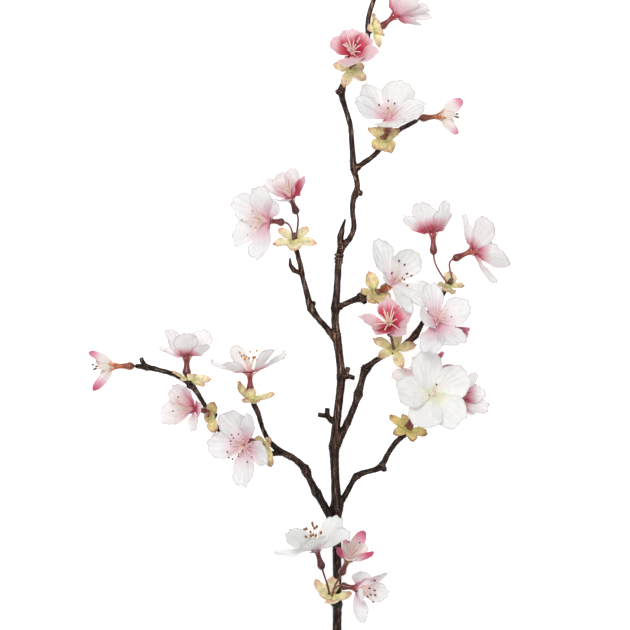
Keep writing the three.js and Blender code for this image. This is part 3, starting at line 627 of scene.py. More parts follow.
def add_rings(shape, rings, marks):
    """A closed skin over rings of points, with a point in the middle of each end."""
    count, sides = rings.shape[:2]
    ids = np.arange(count * sides).reshape(count, sides)
    first, last = count * sides, count * sides + 1
    faces = grid_faces(ids, closed=True)
    for side in range(sides):
        ahead = (side + 1) % sides
        faces.append([first, ids[0, ahead], ids[0, side]])
        faces.append([last, ids[-1, side], ids[-1, ahead]])
    shape.add(
        np.concatenate([rings.reshape(-1, 3), [rings[0].mean(0), rings[-1].mean(0)]]),
        faces,
        np.concatenate([np.repeat(marks, sides, axis=0), marks[[0, -1]]]),
    )


def add_tube(shape, points, radii, sides, marks):
    """A round tube through points. Its frame is carried along, so that it doesn't twist."""
    along = units(np.gradient(points, axis=0))
    across = axes_across(along[0])[0]
    around = np.linspace(0, 2 * pi, sides, endpoint=False)
    rings = []
    for point, way, radius in zip(points, along, radii):
        across = unit(across - way * across.dot(way))
        rings.append(point + radius * MM * circle(across, np.cross(way, across), around))
    add_rings(shape, np.array(rings), marks)


def add_disc(shape, outline, place, axis, mark):
    """A round body. outline gives its heights along the axis and the radius at each."""
    heights, radii = np.array(outline).T
    around = np.linspace(0, 2 * pi, DISC_SIDES, endpoint=False)
    middles = place + MM * column(heights) * axis
    rings = middles[:, None, :] + MM * radii[:, None, None] * circle(*axes_across(axis), around)
    add_rings(shape, rings, np.tile(mark, (len(outline), 1)))


# ---- petals and bracts


def ripple(around, waves, phases):
    return sum(strength * np.sin(count * around + phases[phase]) for count, strength, phase in waves)


def blade_points(foot, tip_way, inward, length, width, form, rng):
    """The middle surface of a petal or bract, and how far along and across it each point is."""
    across, along = np.meshgrid(np.linspace(-1, 1, form["columns"]), np.linspace(-1, 1, form["rows"]))
    round_x = across * np.sqrt(1 - along ** 2 / 2)  # the square grid drawn into a disc
    round_y = along * np.sqrt(1 - across ** 2 / 2)
    share = (round_y + 1) / 2
    edge = np.maximum(np.abs(across), along)
    around = np.arctan2(round_x, round_y + RIM_HINGE)
    phases = rng.uniform(0, 2 * pi, PHASES)
    nicks = 1 + form["nicks"] * ripple(around, OUTLINE_WAVES, phases) * edge ** 4
    narrow = form["claw"] + (1 - form["claw"]) * smoothstep(0, form["widest"], share)
    half = width / 2 * round_x * narrow * nicks
    notch = form["notch"] * np.exp(-(round_x / NOTCH_WIDTH) ** 2)
    reach = (share - notch * smoothstep(NOTCH_START, 1, share)) * nicks

    waves = form["ruffle"] * length * edge ** 3 * ripple(around, RIM_WAVES, phases)
    fan = np.arctan2(round_x, share + PLEAT_HINGE)
    folds = np.sin(PLEATS * fan + phases[PLEAT_PHASE]) * (1 - edge ** 4)
    folds = folds * smoothstep(PLEAT_START, PLEAT_FULL, share)
    rise = form["cup"] * half ** 2 / (width / 2) + waves + form["pleat"] * length * folds
    rise = rise - form["bow"] * length * 4 * share * (1 - share)
    rise = rise - form["flare"] * length * smoothstep(FLARE_START, 1, share) ** 2

    points = (
        foot
        + MM * length * reach[..., None] * tip_way
        + MM * half[..., None] * np.cross(tip_way, inward)
        + MM * rise[..., None] * inward
    )
    points[..., 2] = resting(points[..., 2])
    return points, share, round_x


def add_blade(shape, place, axis, row, form, rng):
    """One petal or bract, which grows from a place and leans out from an axis."""
    # Above the steepest lift, even the longest blade doesn't reach far enough.
    steepest = degrees(acos(min(1.0, row["reach"] / form["longest"])))
    lift = min(steepest, lift_for(row["turn"], axis, form["lean"])) if row["lift"] is None else row["lift"]
    flat = form["flat"] if row["flat"] is None else row["flat"]
    tip_way = facing(row["turn"], lift)
    length = min(form["longest"], row["reach"] / max(LEAST_SLOPE, cos(radians(lift))))
    outward = unit(tip_way - axis * tip_way.dot(axis) + NUDGE)
    inward = unit(axis - tip_way * axis.dot(tip_way) + UPTURN * UP)
    inward = inward * (1 - flat) + copysign(flat, inward[2]) * UP
    inward = unit(inward - tip_way * inward.dot(tip_way))
    twist = radians(form["twist"])
    inward = unit(inward * cos(twist) + np.cross(tip_way, inward) * sin(twist))
    foot = place + MM * (form["foot"] * outward + form["up"] * axis)
    points, share, across = blade_points(foot, tip_way, inward, length, row["width"], form, rng)
    tint = np.full(share.shape, form["tint"] + row["pale"] / 2)
    add_sheet(shape, points, np.stack([share, across, tint], axis=-1), form["thickness"])


def own_form(usual, thing):
    """The usual form of a blade or a calyx, with what a blossom or a whorl says instead."""
    return dict(usual, **{part: thing[part] for part in usual if part in thing})


def add_blades(shape, place, axis, rows, form, stray, rng):
    """The petals of a blossom, or the bracts of a whorl."""
    for row in rows:
        own = dict(form)
        for part, (least, most) in stray.items():
            own[part] += rng.uniform(least, most)
        add_blade(shape, place, axis, row, own, rng)


def petals(name, blossom, place, axis, materials, rng):
    shape = Shape()
    form = dict(own_form(PETAL_FORM, blossom), tint=USUAL_TINT + blossom.get("pale", 0.0) / 2)
    if blossom["finish"] in CLOSED_FINISHES:
        form.update(CLOSED_PETAL)
    add_blades(shape, place, axis, blossom["petals"], form, PETAL_STRAY, rng)
    add_disc(shape, PETAL_DISC, place, axis, (DISC_COLOUR, 0.0, USUAL_TINT))
    slot = "petal_rose" if "rose" in name or "bud" in name else "petal_white"
    shape.piece("flower_" + name, materials[blossom["finish"]], slot, "petals_" + name)


def bracts(name, whorl, materials, rng):
    shape = Shape()
    axis = facing(whorl["turn"], whorl["lift"])
    place = whorl_place(name, axis)
    form = dict(own_form(BRACT_FORM, whorl), tint=whorl["tone"])
    add_blades(shape, place, axis, whorl["bracts"], form, BRACT_STRAY, rng)
    add_disc(shape, BRACT_DISC, place, axis, (COLLAR_COLOUR, 0.0, whorl["tone"]))
    if whorl.get("bud"):
        bud = Shape()
        add_anther(bud, place + MM * BUD_RISE * axis, axis, rng.uniform(0, pi), BUD_SHADE, BUD_SIZE)
        bud.piece("bud_" + name, materials["bark"], "bark", "bracts_" + name)
    shape.piece("collar_" + name, materials["bract"], "bract", "bracts_" + name)


# ---- where the CAD model puts things

MOUTH_DEPTH = 0.3  # how far below the highest point of a calyx its mouth still goes
STALK_FOOT = 1.15  # the farthest that the points of a stalk's first ring are apart
WHORL_CORE = 3.5  # radius of the middle of a whorl, clear of its bracts


def node_points(name):
    return read(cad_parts[name].data.vertices, "co", 3)


def calyx_mouth(name, axis):
    """The middle of the end of a calyx tube."""
    points = node_points("stalk_" + name)
    height = points @ axis
    return points[height > height.max() - MOUTH_DEPTH * MM].mean(0)


def stalk_start(name, mouth):
    """The middle of a stalk's first ring, which is the end away from the petals."""
    points = node_points("stalk_" + name)
    farthest = points[np.linalg.norm(points - mouth, axis=1).argmax()]
    return points[np.linalg.norm(points - farthest, axis=1) < STALK_FOOT * MM].mean(0)


def whorl_place(name, axis):
    """The middle of the end of the shoot that a whorl crowns."""
    points = node_points("bracts_" + name)
    middle = points[np.linalg.norm(points - points.mean(0), axis=1) < WHORL_CORE * MM].mean(0)
    return middle + axis * ((points @ axis).min() - GAP * MM - middle.dot(axis))


# ---- stalks


def bezier(start, pull, push, end, count):
    share = column(np.linspace(0, 1, count))
    left = 1 - share
    return left ** 3 * start + 3 * left ** 2 * share * pull + 3 * left * share ** 2 * push + share ** 3 * end


def stalk_way(blossom):
    """The way that a blossom's stalk sets out."""
    if "way" in blossom:
        return facing(*blossom["way"])
    whorl = WHORLS[blossom["whorl"]]
    return facing(whorl["turn"], whorl["lift"])


def add_stem(shape, start, way, foot, axis, form, rng):
    """The thin stalk, thicker where it starts and a little uneven, which ends inside the calyx tube."""
    pull = STALK_SWEEP * np.linalg.norm(foot - start)
    points = bezier(start, start + way * pull, foot - axis * pull, foot, STALK_POINTS)
    points = np.concatenate([points, [foot + axis * STALK_END * MM]])
    share = np.linspace(0, 1, len(points))
    heel = STALK_HEEL[0] * np.exp(-(share / STALK_HEEL[1]) ** 2)
    wave = STALK_WAVE[0] * np.sin(STALK_WAVE[1] * share + rng.uniform(0, 6))
    radii = form["stem"] * form["size"] ** 0.5 * (1 + heel + wave)
    marks = np.array([(CALYX_COLOURS[0] * along, form["light"], form["warmth"]) for along in share])
    add_tube(shape, points, radii, STALK_SIDES, marks)


def add_calyx(shape, foot, axis, lean, form):
    """The calyx tube from its foot to its mouth, and the sepals round the mouth."""
    around = np.arange(CALYX_SIDES) / CALYX_SIDES
    lobe = 1 - np.abs((around * SEPALS) % 1 * 2 - 1)
    out = sin(radians(lean))
    rise = cos(radians(lean)) / out
    reach = out * (SEPAL_NOTCH + (form["sepal"] - SEPAL_NOTCH) * lobe ** SEPAL_POINT)
    rows = []
    for (height, radius), colour in zip(CALYX, np.linspace(*CALYX_COLOURS, len(CALYX))):
        waist = form["waist"] if height > SWELLING_END else 0.0
        rows.append((max(radius, waist), height * form["tube"], colour))
    top, mouth = CALYX[-1]
    for share, height, colour in SEPAL_RINGS:
        rows.append((mouth + reach * share, top * form["tube"] + height + rise * reach * share, colour))
    radius, height, colour = CALYX_FLOOR
    rows.append((radius, CALYX_LENGTH * form["tube"] + height, colour))
    ring = circle(*axes_across(axis), 2 * pi * around)
    rings, marks = [], []
    for radius, height, colour in rows:
        rings.append(foot + MM * (form["size"] * column(radius) * ring + column(height) * axis))
        marks.append((colour, form["light"], form["warmth"]))
    add_rings(shape, np.array(rings), np.array(marks))


def stalk(name, blossom, mouth, axis, materials, rng):
    """A thin stalk, the calyx tube that it swells into, and the five sepals at the tube's mouth."""
    shape = Shape()
    form = own_form(CALYX_FORM, blossom)
    foot = mouth - axis * CALYX_LENGTH * form["tube"] * MM
    add_stem(shape, stalk_start(name, mouth), stalk_way(blossom), foot, axis, form, rng)
    add_calyx(shape, foot, axis, blossom["lean"], form)
    shape.piece("calyx_" + name, materials["calyx"], "calyx", "stalk_" + name)


# ---- stamens


def add_anther(shape, place, way, turn, shade, size):
    """A bean-shaped grain that lies along way, and is turned round it."""
    heights = np.linspace(-1, 1, ANTHER_RINGS)
    middles = place + MM * size * ANTHER_LENGTH * column(heights) * way
    radii = size * ANTHER_RADIUS * np.sqrt(1 - (ANTHER_TAPER * heights) ** 2)
    around = turn + np.linspace(0, 2 * pi, ANTHER_SIDES, endpoint=False)
    bean = circle(*axes_across(way), around, 1 + ANTHER_CREASE * np.cos(2 * around))
    rings = middles[:, None, :] + MM * radii[:, None, None] * bean
    add_rings(shape, rings, np.tile([1.0, 1.0, shade], (len(heights), 1)))


def filament_points(place, axis, outward, spread, length):
    """The middle line of a filament, which bends from the way its blossom faces to its own."""
    way = unit(cos(spread) * axis + sin(spread) * outward)
    foot = place + MM * (FILAMENT_FOOT[0] * outward + FILAMENT_FOOT[1] * axis)
    tip = foot + MM * length * way
    pull = foot + MM * length * FILAMENT_SWEEP[0] * axis
    push = tip - MM * length * FILAMENT_SWEEP[1] * way
    points = bezier(foot, pull, push, tip, FILAMENT_POINTS)
    points[:, 2] = resting(points[:, 2])
    return points, way


def stamens(name, blossom, place, axis, materials, rng):
    """A tuft of thin filaments that lean out from the axis, with an anther on some of them."""
    shape = Shape()
    one, other = axes_across(axis)
    own = blossom["stamens"]
    for k in range(own["count"]):
        around = 2 * pi * (k + rng.uniform(*STAMEN_STRAY["around"])) / own["count"]
        spread = radians(own["spread"] * rng.uniform(*STAMEN_STRAY["spread"]))
        length = own["length"] * rng.uniform(*STAMEN_STRAY["length"])
        outward = cos(around) * one + sin(around) * other
        points, way = filament_points(place, axis, outward, spread, length)
        tone = np.clip(own["gold"] + rng.uniform(*STAMEN_STRAY["gold"]), 0, 1)
        share = np.linspace(0, 1, FILAMENT_POINTS)
        marks = np.array([(along, 0.0, tone) for along in share])
        radii = own["thick"] * np.linspace(*FILAMENT_TAPER, FILAMENT_POINTS)
        add_tube(shape, points, radii, FILAMENT_SIDES, marks)
        turn = rng.uniform(0, pi)
        if rng.uniform() < own["anthers"]:
            add_anther(shape, points[-1], way, turn, tone, own["anther"])
    shape.piece("stamens_" + name, materials["stamens"], "petal_white", "petals_" + name)


# ---- the twig

WELD = 1e-6  # points of the CAD twig that are nearer than this are one, in metres
TWIG_VOXEL = 0.35
TWIG_SMOOTHING = 2
TWIG_SWELL = 0.2  # how much bark there is over the CAD model

# How often values spread to their neighbours on the skin: those of the grain, of the streaks, rings and lumps
# of the bark, and of the way that it faces, from which the bark's material paints a sheen on top and shade on
# the sides.
GRAIN_ROUNDS = 40
STREAK_ROUNDS = 24
RING_ROUNDS = 14
LUMP_ROUNDS = 14
UPWARD_ROUNDS = 4
STREAK_HEIGHT = 0.035
RING_HEIGHT = 0.03
LUMP_HEIGHT = 0.05
RELIEF = 0.3  # the most that streaks, rings and lumps come to together
KNUCKLE_REACH = 4.0  # how far a knuckle reaches round its shoot
KNUCKLE_END = 0.05  # the share of its height where its rings end
RING_PITCH = 1.3  # between the rings of a knuckle
RING_DEPTH = 0.16

# The knuckles of the twig: places to the right of the twig's cut end and along from it, the way that the
# shoot runs there, how much the knuckle stands out, and half its length.
KNUCKLES = [
    (0.2, 33, 90, 0.4, 1.6),
    (-0.2, 81, 90, 0.85, 2.4),
    (-0.5, 112, 90, 0.55, 2.4),
    (2.2, 147, 92, 0.35, 2.2),
    (0.3, 168, 86, 0.1, 2.0),
    (-0.2, 180.5, 88, 0.45, 2.0),
    (2.6, 211.5, 70, 0.2, 1.6),
    (9.6, 237.5, 80, 0.35, 1.8),
    (8.4, 250.8, 95, 0.35, 1.8),
    (2.2, 289, 100, 0.55, 2.0),
    (15.6, 315.5, 70, 0.2, 1.2),
    (6.6, 123, 66, 0.15, 1.2),
    (11.5, 137.5, 68, 0.6, 1.7),
    (14.6, 150, 70, 0.6, 1.9),
    (39.4, 167, 52, 0.35, 1.6),
    (-10.4, 88.6, 118, 0.6, 1.9),
    (-15.2, 99, 124, 0.65, 1.9),
    (-23, 107, 150, 0.25, 1.8),
    (10, 97.2, 40, 0.3, 1.5),
    (22.6, 102, 40, 0.4, 1.5),
    (-12.4, 180.6, 108, 0.3, 1.5),
    (-71, 142, 145, 0.2, 1.6),
    (-94.6, 151.6, 175, 0.3, 1.4),
    (11.8, 186, 10, 0.3, 2.0),
]

# The rings round the joint below the upper shoot: places as above, radius and half thickness.
JOINT_RINGS = [(0.85, 203.5, 1.85, 0.5), (0.95, 205.3, 2.2, 0.6), (1.1, 207.3, 2.3, 0.65)]
JOINT_TURN = 84  # the way that the shoot runs there
JOINT_PITCH = 1.9


def spread_along(values, edges, weights, rounds):
    """Averages values along the edges of a mesh, as strongly as each edge's weight says."""
    count = len(values)
    one, other = edges.T
    total = 1 + np.bincount(one, weights, count) + np.bincount(other, weights, count)
    for _ in range(rounds):
        gained = np.bincount(one, weights * values[other], count)
        gained += np.bincount(other, weights * values[one], count)
        values = (values + gained) / total
    return values


def random_waves(rng, count, edges, weights, rounds):
    """A random number at each point of a mesh, evened out along its edges. Their mean is 0 and spread 1."""
    values = spread_along(rng.normal(size=count), edges, weights, rounds)
    return (values - values.mean()) / values.std()


def grain_direction(normals, edges):
    """The way that a shoot runs at each point of its skin: the one that the nearby normals avoid."""
    even = np.ones(len(edges))
    spread = np.zeros((len(normals), 3, 3))
    for i in range(3):
        for j in range(i, 3):
            spread[:, i, j] = spread_along(normals[:, i] * normals[:, j], edges, even, GRAIN_ROUNDS)
            spread[:, j, i] = spread[:, i, j]
    return np.linalg.eigh(spread)[1][:, :, 0]


def cut_end(points):
    """The middle of the twig's cut end."""
    return points[points[:, 1] < points[:, 1].min() + MM].mean(0)


def from_place(points, x, y, turn):
    """How far points of the twig are along a shoot and beside it, from a place where it runs to turn."""
    offset = (points[:, :2] - cut_end(points)[:2]) / MM - (x, y)
    way = facing(turn, 0)[:2]
    return offset @ way, np.abs(offset @ (-way[1], way[0]))


def knuckle_swell(points):
    """How far the knuckles stand out at each point of the twig's skin, and the wave of their rings there."""
    swell = np.zeros(len(points))
    wave = np.zeros(len(points))
    for x, y, turn, height, width in KNUCKLES:
        along, beside = from_place(points, x, y, turn)
        near = smoothstep(KNUCKLE_REACH, KNUCKLE_REACH - 1, beside) * np.exp(-(along / width) ** 2)
        swell = np.maximum(swell, height * near)
        wave = np.where(near > KNUCKLE_END, near * np.cos(2 * pi * along / RING_PITCH), wave)
    for x, y, _, _ in JOINT_RINGS:
        along, beside = from_place(points, x, y, JOINT_TURN)
        inside = (np.abs(along) < JOINT_PITCH / 2) & (beside < KNUCKLE_REACH)
        wave = np.where(inside, np.cos(2 * pi * along / JOINT_PITCH), wave)
    return swell, wave


def add_joint_rings(work):
    """Flattened balls threaded on the shoot, which the remesh joins to it."""
    points = np.array([vertex.co for vertex in work.verts])
    turn = Matrix.Rotation(radians(JOINT_TURN), 4, "Z")
    for x, y, radius, half in JOINT_RINGS:
        place = cut_end(points) + MM * np.array([x, y, 0])
        near = np.linalg.norm(points[:, :2] - place[:2], axis=1) < KNUCKLE_REACH * MM
        place[2] = points[near, 2].mean()
        scale = Matrix.Diagonal((half * MM, radius * MM, radius * MM, 1))
        bmesh.ops.create_uvsphere(
            work, u_segments=32, v_segments=16, radius=1.0, matrix=Matrix.Translation(place) @ turn @ scale,
        )


def smooth_skin(source):
    """A new mesh: the CAD twig with the joint's rings, and its corners rounded off."""
    mesh = source.data.copy()
    work = bmesh.new()
    work.from_mesh(mesh)
    bmesh.ops.remove_doubles(work, verts=work.verts, dist=WELD)
    add_joint_rings(work)
    work.to_mesh(mesh)
    work.free()
    rough = new_object("twig_blank", mesh)
    remesh = rough.modifiers.new("remesh", "REMESH")
    remesh.mode = "VOXEL"
    remesh.voxel_size = TWIG_VOXEL * MM
    smooth = rough.modifiers.new("smooth", "SMOOTH")
    smooth.factor = 0.5
    smooth.iterations = TWIG_SMOOTHING
    graph = bpy.context.evaluated_depsgraph_get()
    skin = bpy.data.meshes.new_from_object(rough.evaluated_get(graph))
    skin.name = "bark"
    skin.materials.clear()
    bpy.data.objects.remove(rough)
    return skin


def twig(materials, rng):
    """The woody twig: the skin of its CAD solid with bark raised on it."""
    skin = smooth_skin(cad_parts["twig"])
    count = len(skin.vertices)
    points = read(skin.vertices, "co", 3)
    normals = read(skin.vertices, "normal", 3)
    edges = read(skin.edges, "vertices", 2, int)
    even = np.ones(len(edges))
    grain = grain_direction(normals, edges)
    span = units(points[edges[:, 1]] - points[edges[:, 0]])
    with_grain = np.abs((span * grain[edges[:, 0]]).sum(1))
    # streaks even out along the grain, rings across it and lumps every way
    streaks = random_waves(rng, count, edges, with_grain ** 6, STREAK_ROUNDS)
    rings = random_waves(rng, count, edges, (1 - with_grain ** 2) ** 3, RING_ROUNDS)
    lumps = random_waves(rng, count, edges, even, LUMP_ROUNDS)
    swell, wave = knuckle_swell(points)
    relief = STREAK_HEIGHT * streaks + RING_HEIGHT * rings + LUMP_HEIGHT * lumps
    height = TWIG_SWELL + swell + RING_DEPTH * wave + np.clip(relief, -RELIEF, RELIEF)
    points = points + normals * MM * column(height)
    points[:, 2] = np.maximum(points[:, 2], 0)
    skin.vertices.foreach_set("co", points.ravel())
    skin.polygons.foreach_set("use_smooth", [True] * len(skin.polygons))
    # how far the skin faces up, from which the material paints a sheen on top and shade on the sides
    upward = spread_along(normals[:, 2], edges, even, UPWARD_ROUNDS)
    # each of the three lies mostly between 0 and 1
    # the second carries the knuckles' ring wave, from which the material paints shade in the grooves and a
    # highlight on the crests
    marks = [0.5 + 0.2 * streaks, 0.5 + 0.14 * rings + 0.4 * wave, 0.5 + 0.5 * upward]
    write_marks(skin, np.stack(marks, axis=1).clip(0, 1))
    new_piece("bark", skin, materials["bark"], "bark", "twig")


# ---- materials


def srgb(colour):
    """A colour of three sRGB values up to 255 as the linear colour that a shader takes."""
    linear = [((c / 255 + 0.055) / 1.055) ** 2.4 if c > 10 else c / 255 / 12.92 for c in colour]
    return (*linear, 1.0)


class Value:
    """An output of a material's node, which can be calculated with."""

    def __init__(self, shader, socket):
        self.shader = shader
        self.socket = socket

    def math(self, operation, other):
        return self.shader.node("Math", {0: self, 1: other}, operation=operation)[0]

    def __add__(self, other):
        return self.math("ADD", other)

    def __mul__(self, other):
        return self.math("MULTIPLY", other)

    def __pow__(self, other):
        return self.math("POWER", other)

    def remap(self, low, high, to_low=0.0, to_high=1.0):
        """Brings a range to another one, and what lies outside it to the ends."""
        return self.shader.node("MapRange", {0: self, 1: low, 2: high, 3: to_low, 4: to_high})[0]

    def swing(self, low, high):
        """Brings the range that noise mostly keeps to, to another one."""
        return self.remap(0.3, 0.7, low, high)


class Shader:
    """A material under construction, with short ways to add and join its nodes."""

    def __init__(self, name, **settings):
        self.material = bpy.data.materials.new(name)
        self.material.use_nodes = True
        self.tree = self.material.node_tree
        self.surface = self.tree.nodes["Principled BSDF"]
        for socket, value in settings.items():
            self.feed(self.surface, socket.replace("_", " "), value)

    def feed(self, node, socket, value):
        if isinstance(value, Value):
            self.tree.links.new(value.socket, node.inputs[socket])
        else:
            node.inputs[socket].default_value = value

    def node(self, kind, inputs=(), **settings):
        """Adds a node, and gives its outputs. inputs are numbers, colours or values."""
        node = self.tree.nodes.new("ShaderNode" + kind)
        for key, value in settings.items():
            setattr(node, key, value)
        for socket, value in dict(inputs).items():
            self.feed(node, socket, value)
        return [Value(self, socket) for socket in node.outputs]

    def marks(self):
        """The three numbers that the piece's points carry."""
        return self.node("SeparateColor", {0: self.node("Attribute", attribute_name="marks")[0]})

    def place(self):
        """Where a point is on the sprig, in metres."""
        return self.node("TexCoord")[3]  # its Object output

    def noise(self, scale, detail=2.0, at=None):
        return self.node("TexNoise", {"Vector": at or self.place(), "Scale": scale, "Detail": detail})[0]

    def lines(self, across, along, seed, detail):
        """Noise drawn out into lines that run along a blade. Each seed gives other ones."""
        return self.noise(1.0, detail, at=self.node("CombineXYZ", {0: across, 1: along, 2: seed})[0])

    def ramp(self, share, stops):
        """The colour at a share of the way along a row of colours."""
        colour = self.node("ValToRGB", {0: share})[0]
        elements = colour.socket.node.color_ramp.elements
        while len(elements) < len(stops):
            elements.new(0.5)
        for element, (position, shade) in zip(elements, stops):
            element.position = position
            element.color = srgb(shade)
        return colour

    def mix(self, share, one, other, blend="MIX"):
        inputs = {0: share, 6: one, 7: other}  # those for colours
        return self.node("Mix", inputs, data_type="RGBA", blend_type=blend)[2]

    def shade(self, colour, red, green=None, blue=None):
        """A colour made lighter or darker, by one number or by one for each part of it."""
        parts = {0: red, 1: green or red, 2: blue or red}
        return self.mix(1.0, colour, self.node("CombineColor", parts)[0], "MULTIPLY")

    def bump(self, height, distance, strength):
        bumps = self.node("Bump", {"Height": height, "Distance": distance, "Strength": strength})
        self.feed(self.surface, "Normal", bumps[0])

    def colour(self, colour):
        self.feed(self.surface, "Base Color", colour)


def border(across, along, start):
    """1 on the outline of a blade, and 0 inside it as far out as start."""
    upward = along.remap(0.0, 1.0, -1.0, 1.0)
    return (across * across + upward * upward).remap(start, 1.0)


def petal_material(name, stops, veins, rim, rim_colour_and_painted_outline):
    """Soft and matt: a colour that changes from foot to rim, fine veins that fan out, a rim that is painted
    shade on the white finishes, and a faint tooth.
    """
    shader = Shader(
        "petal_" + name, Roughness=0.62, Specular_IOR_Level=0.3, Subsurface_Weight=0.25,
        Subsurface_Radius=(1.0, 0.75, 0.7), Subsurface_Scale=0.0012, Sheen_Weight=0.12,
    )
    along, across, tint = shader.marks()
    lines = shader.lines(across * 11.0, along * 1.6, tint * 37.0, 3.0)
    shifted = along + lines.swing(-0.07, 0.07) + tint.remap(0.0, 1.0, -1.0, 1.0)
    veined = lines.remap(0.5, 0.66) * shifted.remap(0.15, 0.95, 0.7, 0.1)
    colour = shader.mix(veined, shader.ramp(shifted, stops), srgb(veins))
    # the rim's colour laid along the outline: on the white finishes a grey line of painted shade
    edge = border(across, along, 0.8) * along.remap(0.25, 0.5)
    colour = shader.mix(edge * rim, colour, srgb(rim_colour_and_painted_outline))
    shader.colour(shader.shade(colour, shader.noise(260.0).remap(0.35, 0.7, 0.94, 1.02)))
    shader.bump(lines + shader.noise(2600.0) * 0.25, 0.00035, 0.7)
    return shader.material


def calyx_material():
    """Dusky red to orange and slightly glossy, with fine mottling, darker and lighter, whose light spots also
    stand in for small painted glints.
    """
    shader = Shader("calyx", Roughness=0.3, Specular_IOR_Level=0.5, Coat_Weight=0.5, Coat_Roughness=0.2)
    along, light, warmth = shader.marks()
    deep = shader.ramp(along, [
        (0.0, (142, 72, 70)), (0.38, (124, 44, 46)), (0.5, (92, 22, 28)),
        (0.7, (122, 38, 44)), (1.0, (164, 52, 70)),
    ])
    warm = shader.ramp(along, [
        (0.0, (118, 74, 48)), (0.38, (124, 70, 44)), (0.5, (108, 50, 32)),
        (0.7, (150, 78, 48)), (1.0, (216, 138, 88)),
    ])
    # random mottling, whose lightest spots also serve as painted glints
    mottle_and_painted_glints = shader.noise(600.0, 4.0).swing(0.5, 1.45) * light.remap(0.0, 1.0, 0.55, 1.5)
    shader.colour(shader.shade(shader.mix(warmth, deep, warm), mottle_and_painted_glints))
    shader.bump(shader.noise(900.0, 3.0), 0.0005, 0.7)
    return shader.material


def bract_material():
    """Leathery, cream to olive with brown-pink tips, a darker outline, a few veins and blotches."""
    shader = Shader(
        "bract", Roughness=0.5, Specular_IOR_Level=0.4, Subsurface_Weight=0.1,
        Subsurface_Radius=(1.0, 0.9, 0.5), Subsurface_Scale=0.001,
    )
    along, across, tone = shader.marks()
    lines = shader.lines(across * 6.0, along, tone * 19.0, 2.0)
    shifted = along + lines.swing(-0.1, 0.1)
    cream = shader.ramp(shifted, [
        (0.0, (212, 212, 130)), (0.3, (250, 242, 194)), (0.72, (254, 238, 204)), (0.98, (234, 178, 150)),
    ])
    olive = shader.ramp(shifted, [
        (0.0, (156, 148, 66)), (0.3, (222, 208, 132)), (0.75, (222, 198, 134)), (1.0, (132, 78, 54)),
    ])
    edge = border(across, along, 0.75) * tone.remap(0.0, 1.0, 0.3, 0.7)
    colour = shader.mix(edge, shader.mix(tone, cream, olive), srgb((160, 120, 74)))
    blotch = shader.noise(380.0, 3.0).remap(0.32, 0.68, 0.72, 1.22)
    shader.colour(shader.shade(colour, blotch, blotch, blotch * 0.96))
    shader.bump(lines + shader.noise(1400.0) * 0.3, 0.0006, 0.8)
    return shader.material


def stamen_material():
    """Pale filaments, pinkest at the foot, and brown to golden anthers."""
    shader = Shader("stamens", Roughness=0.55)
    along, anther, tone = shader.marks()
    pink = shader.ramp(along, [(0.0, (244, 190, 194)), (0.3, (250, 216, 212)), (1.0, (253, 236, 228))])
    cream = shader.ramp(along, [(0.0, (246, 206, 196)), (0.3, (252, 228, 210)), (1.0, (255, 243, 226))])
    brown = shader.ramp(tone, [(0.0, (72, 30, 30)), (0.35, (112, 54, 44)), (1.0, (198, 136, 70))])
    colour = shader.mix(anther, shader.mix(tone.remap(0.1, 0.5), pink, cream), brown)
    shader.colour(shader.shade(colour, shader.noise(3000.0).swing(0.85, 1.1)))
    return shader.material


def bark_material():
    """Dark brown with a dull shine: paler on the ridges and up the twig, with a painted sheen on top and
    painted shade on its sides, pale ring crests that are partly a painted highlight, and painted shade in the
    grooves between its rings.
    """
    shader = Shader("bark", Specular_IOR_Level=0.14)
    streaks, rings, upward = shader.marks()
    fine = shader.noise(1300.0, 5.0)
    colour = shader.ramp(streaks * 0.5 + fine * 0.35, [
        (0.22, (8, 4, 2)), (0.38, (34, 20, 15)), (0.52, (68, 51, 45)), (0.68, (126, 111, 105)),
    ])
    # pale ring crests: partly the bark's own rings, partly a painted highlight on the knuckles' rings
    colour = shader.mix(rings.remap(0.7, 0.92) * 0.3, colour, srgb((138, 116, 102)))
    # painted sheen and shade: the bark is lighter where its skin faces up and darker on its sides
    painted_top_sheen = upward.remap(0.7, 1.0) ** 2.0
    up_twig = shader.node("SeparateXYZ", {0: shader.place()})[1]
    light = shader.noise(90.0, 3.0).swing(0.55, 1.4) * painted_top_sheen.remap(0.0, 1.0, 0.42, 2.2)
    # darker towards the foot of the twig, and painted shade in the grooves between the rings
    light = light * up_twig.remap(-0.1, -0.01, 0.5, 1.2) * rings.remap(0.1, 0.36, 0.3, 1.0)
    ruddy = shader.noise(45.0).remap(0.4, 0.6)
    red = light * ruddy.remap(0.0, 1.0, 0.95, 1.15)
    blue = light * ruddy.remap(0.0, 1.0, 1.05, 0.85)
    shader.colour(shader.shade(colour, red, light, blue))
    shader.feed(shader.surface, "Roughness", fine.swing(0.22, 0.44))
    shader.bump(fine, 0.0005, 0.8)
    return shader.material


def make_materials():
    materials = {name: petal_material(name, **colours) for name, colours in FINISHES.items()}
    materials["calyx"] = calyx_material()
    materials["bract"] = bract_material()
    materials["stamens"] = stamen_material()
    materials["bark"] = bark_material()
    return materials


# ---- the camera, the light and the floor

CAMERA_HEIGHT = 3.0
CAMERA_WIDTH = 0.315  # what the camera sees, across
CAMERA_OFFSET = (0.0077, -0.0029)  # from the middle of the CAD model
CAMERA_RANGE = 20.0
SENSOR = 36.0

# The soft lights, which are turned to the origin: name, place, size and power.
LIGHTS = [("key", (-0.35, 0.6, 1.7), 0.7, 15.0), ("fill", (0.5, -0.4, 2.0), 1.2, 9.0)]
SKY_STRENGTH = 0.36

FLOOR_HALF = 3.0
FLOOR_GREY = 0.9
FLOOR_GLOW = 0.6
WHITE = (1, 1, 1, 1)


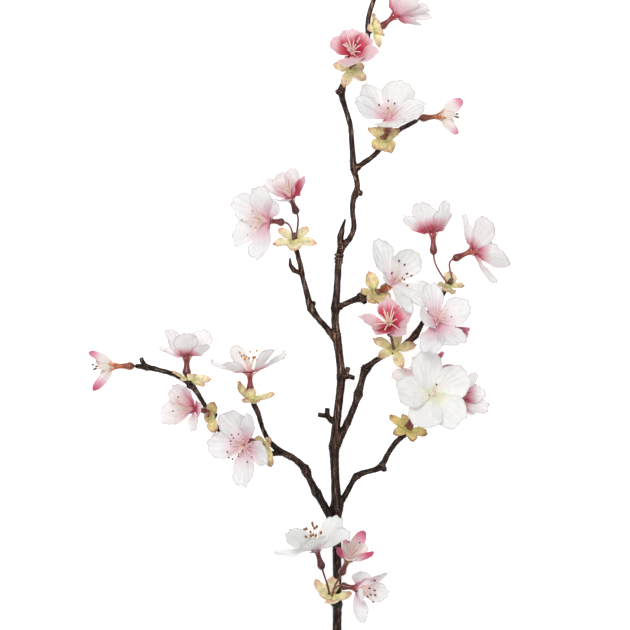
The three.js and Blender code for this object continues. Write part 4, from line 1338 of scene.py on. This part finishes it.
def make_camera():
    low, high = cad_box
    middle = (low + high) / 2
    lens = bpy.data.cameras.new("camera")
    lens.sensor_width = SENSOR
    lens.lens = SENSOR * CAMERA_HEIGHT / CAMERA_WIDTH
    lens.clip_end = CAMERA_RANGE
    camera = new_object("camera", lens)
    camera.location = (middle.x + CAMERA_OFFSET[0], middle.y + CAMERA_OFFSET[1], CAMERA_HEIGHT)
    bpy.context.scene.camera = camera


def make_light(name, place, size, power):
    data = bpy.data.lights.new(name, "AREA")
    data.shape = "SQUARE"
    data.size = size
    data.energy = power
    light = new_object(name, data)
    light.location = place
    light.rotation_mode = "QUATERNION"
    light.rotation_quaternion = (-Vector(place)).to_track_quat("-Z", "Y")


def make_floor():
    mesh = bpy.data.meshes.new("floor")
    corners = [(-1, -1), (1, -1), (1, 1), (-1, 1)]
    mesh.from_pydata([(FLOOR_HALF * x, FLOOR_HALF * y, 0) for x, y in corners], [], [(0, 1, 2, 3)])
    floor = new_object("floor", mesh)
    shader = Shader("floor", Roughness=0.9, Emission_Color=WHITE, Emission_Strength=FLOOR_GLOW)
    shader.colour((FLOOR_GREY, FLOOR_GREY, FLOOR_GREY, 1))
    mesh.materials.append(shader.material)


def make_studio():
    world = bpy.data.worlds.new("studio")
    world.use_nodes = True
    sky = world.node_tree.nodes["Background"]
    sky.inputs["Color"].default_value = WHITE
    sky.inputs["Strength"].default_value = SKY_STRENGTH
    bpy.context.scene.world = world
    for light in LIGHTS:
        make_light(*light)
    make_floor()
    bpy.context.scene.view_settings.view_transform = "Standard"


# ---- putting it together

TWIG_SEED = 7
WHORL_SEED = 100  # of the first whorl, and one more for each after it
BLOSSOM_SEED = 200

make_camera()
make_studio()
materials = make_materials()
twig(materials, np.random.default_rng(TWIG_SEED))
for number, (name, whorl) in enumerate(WHORLS.items()):
    bracts(name, whorl, materials, np.random.default_rng(WHORL_SEED + number))
for number, (name, blossom) in enumerate(BLOSSOMS.items()):
    rng = np.random.default_rng(BLOSSOM_SEED + number)
    axis = facing(blossom["turn"], blossom["lift"])
    mouth = calyx_mouth(name, axis)
    place = mouth + axis * GAP * MM
    stalk(name, blossom, mouth, axis, materials, rng)
    petals(name, blossom, place, axis, materials, rng)
    stamens(name, blossom, place, axis, materials, rng)
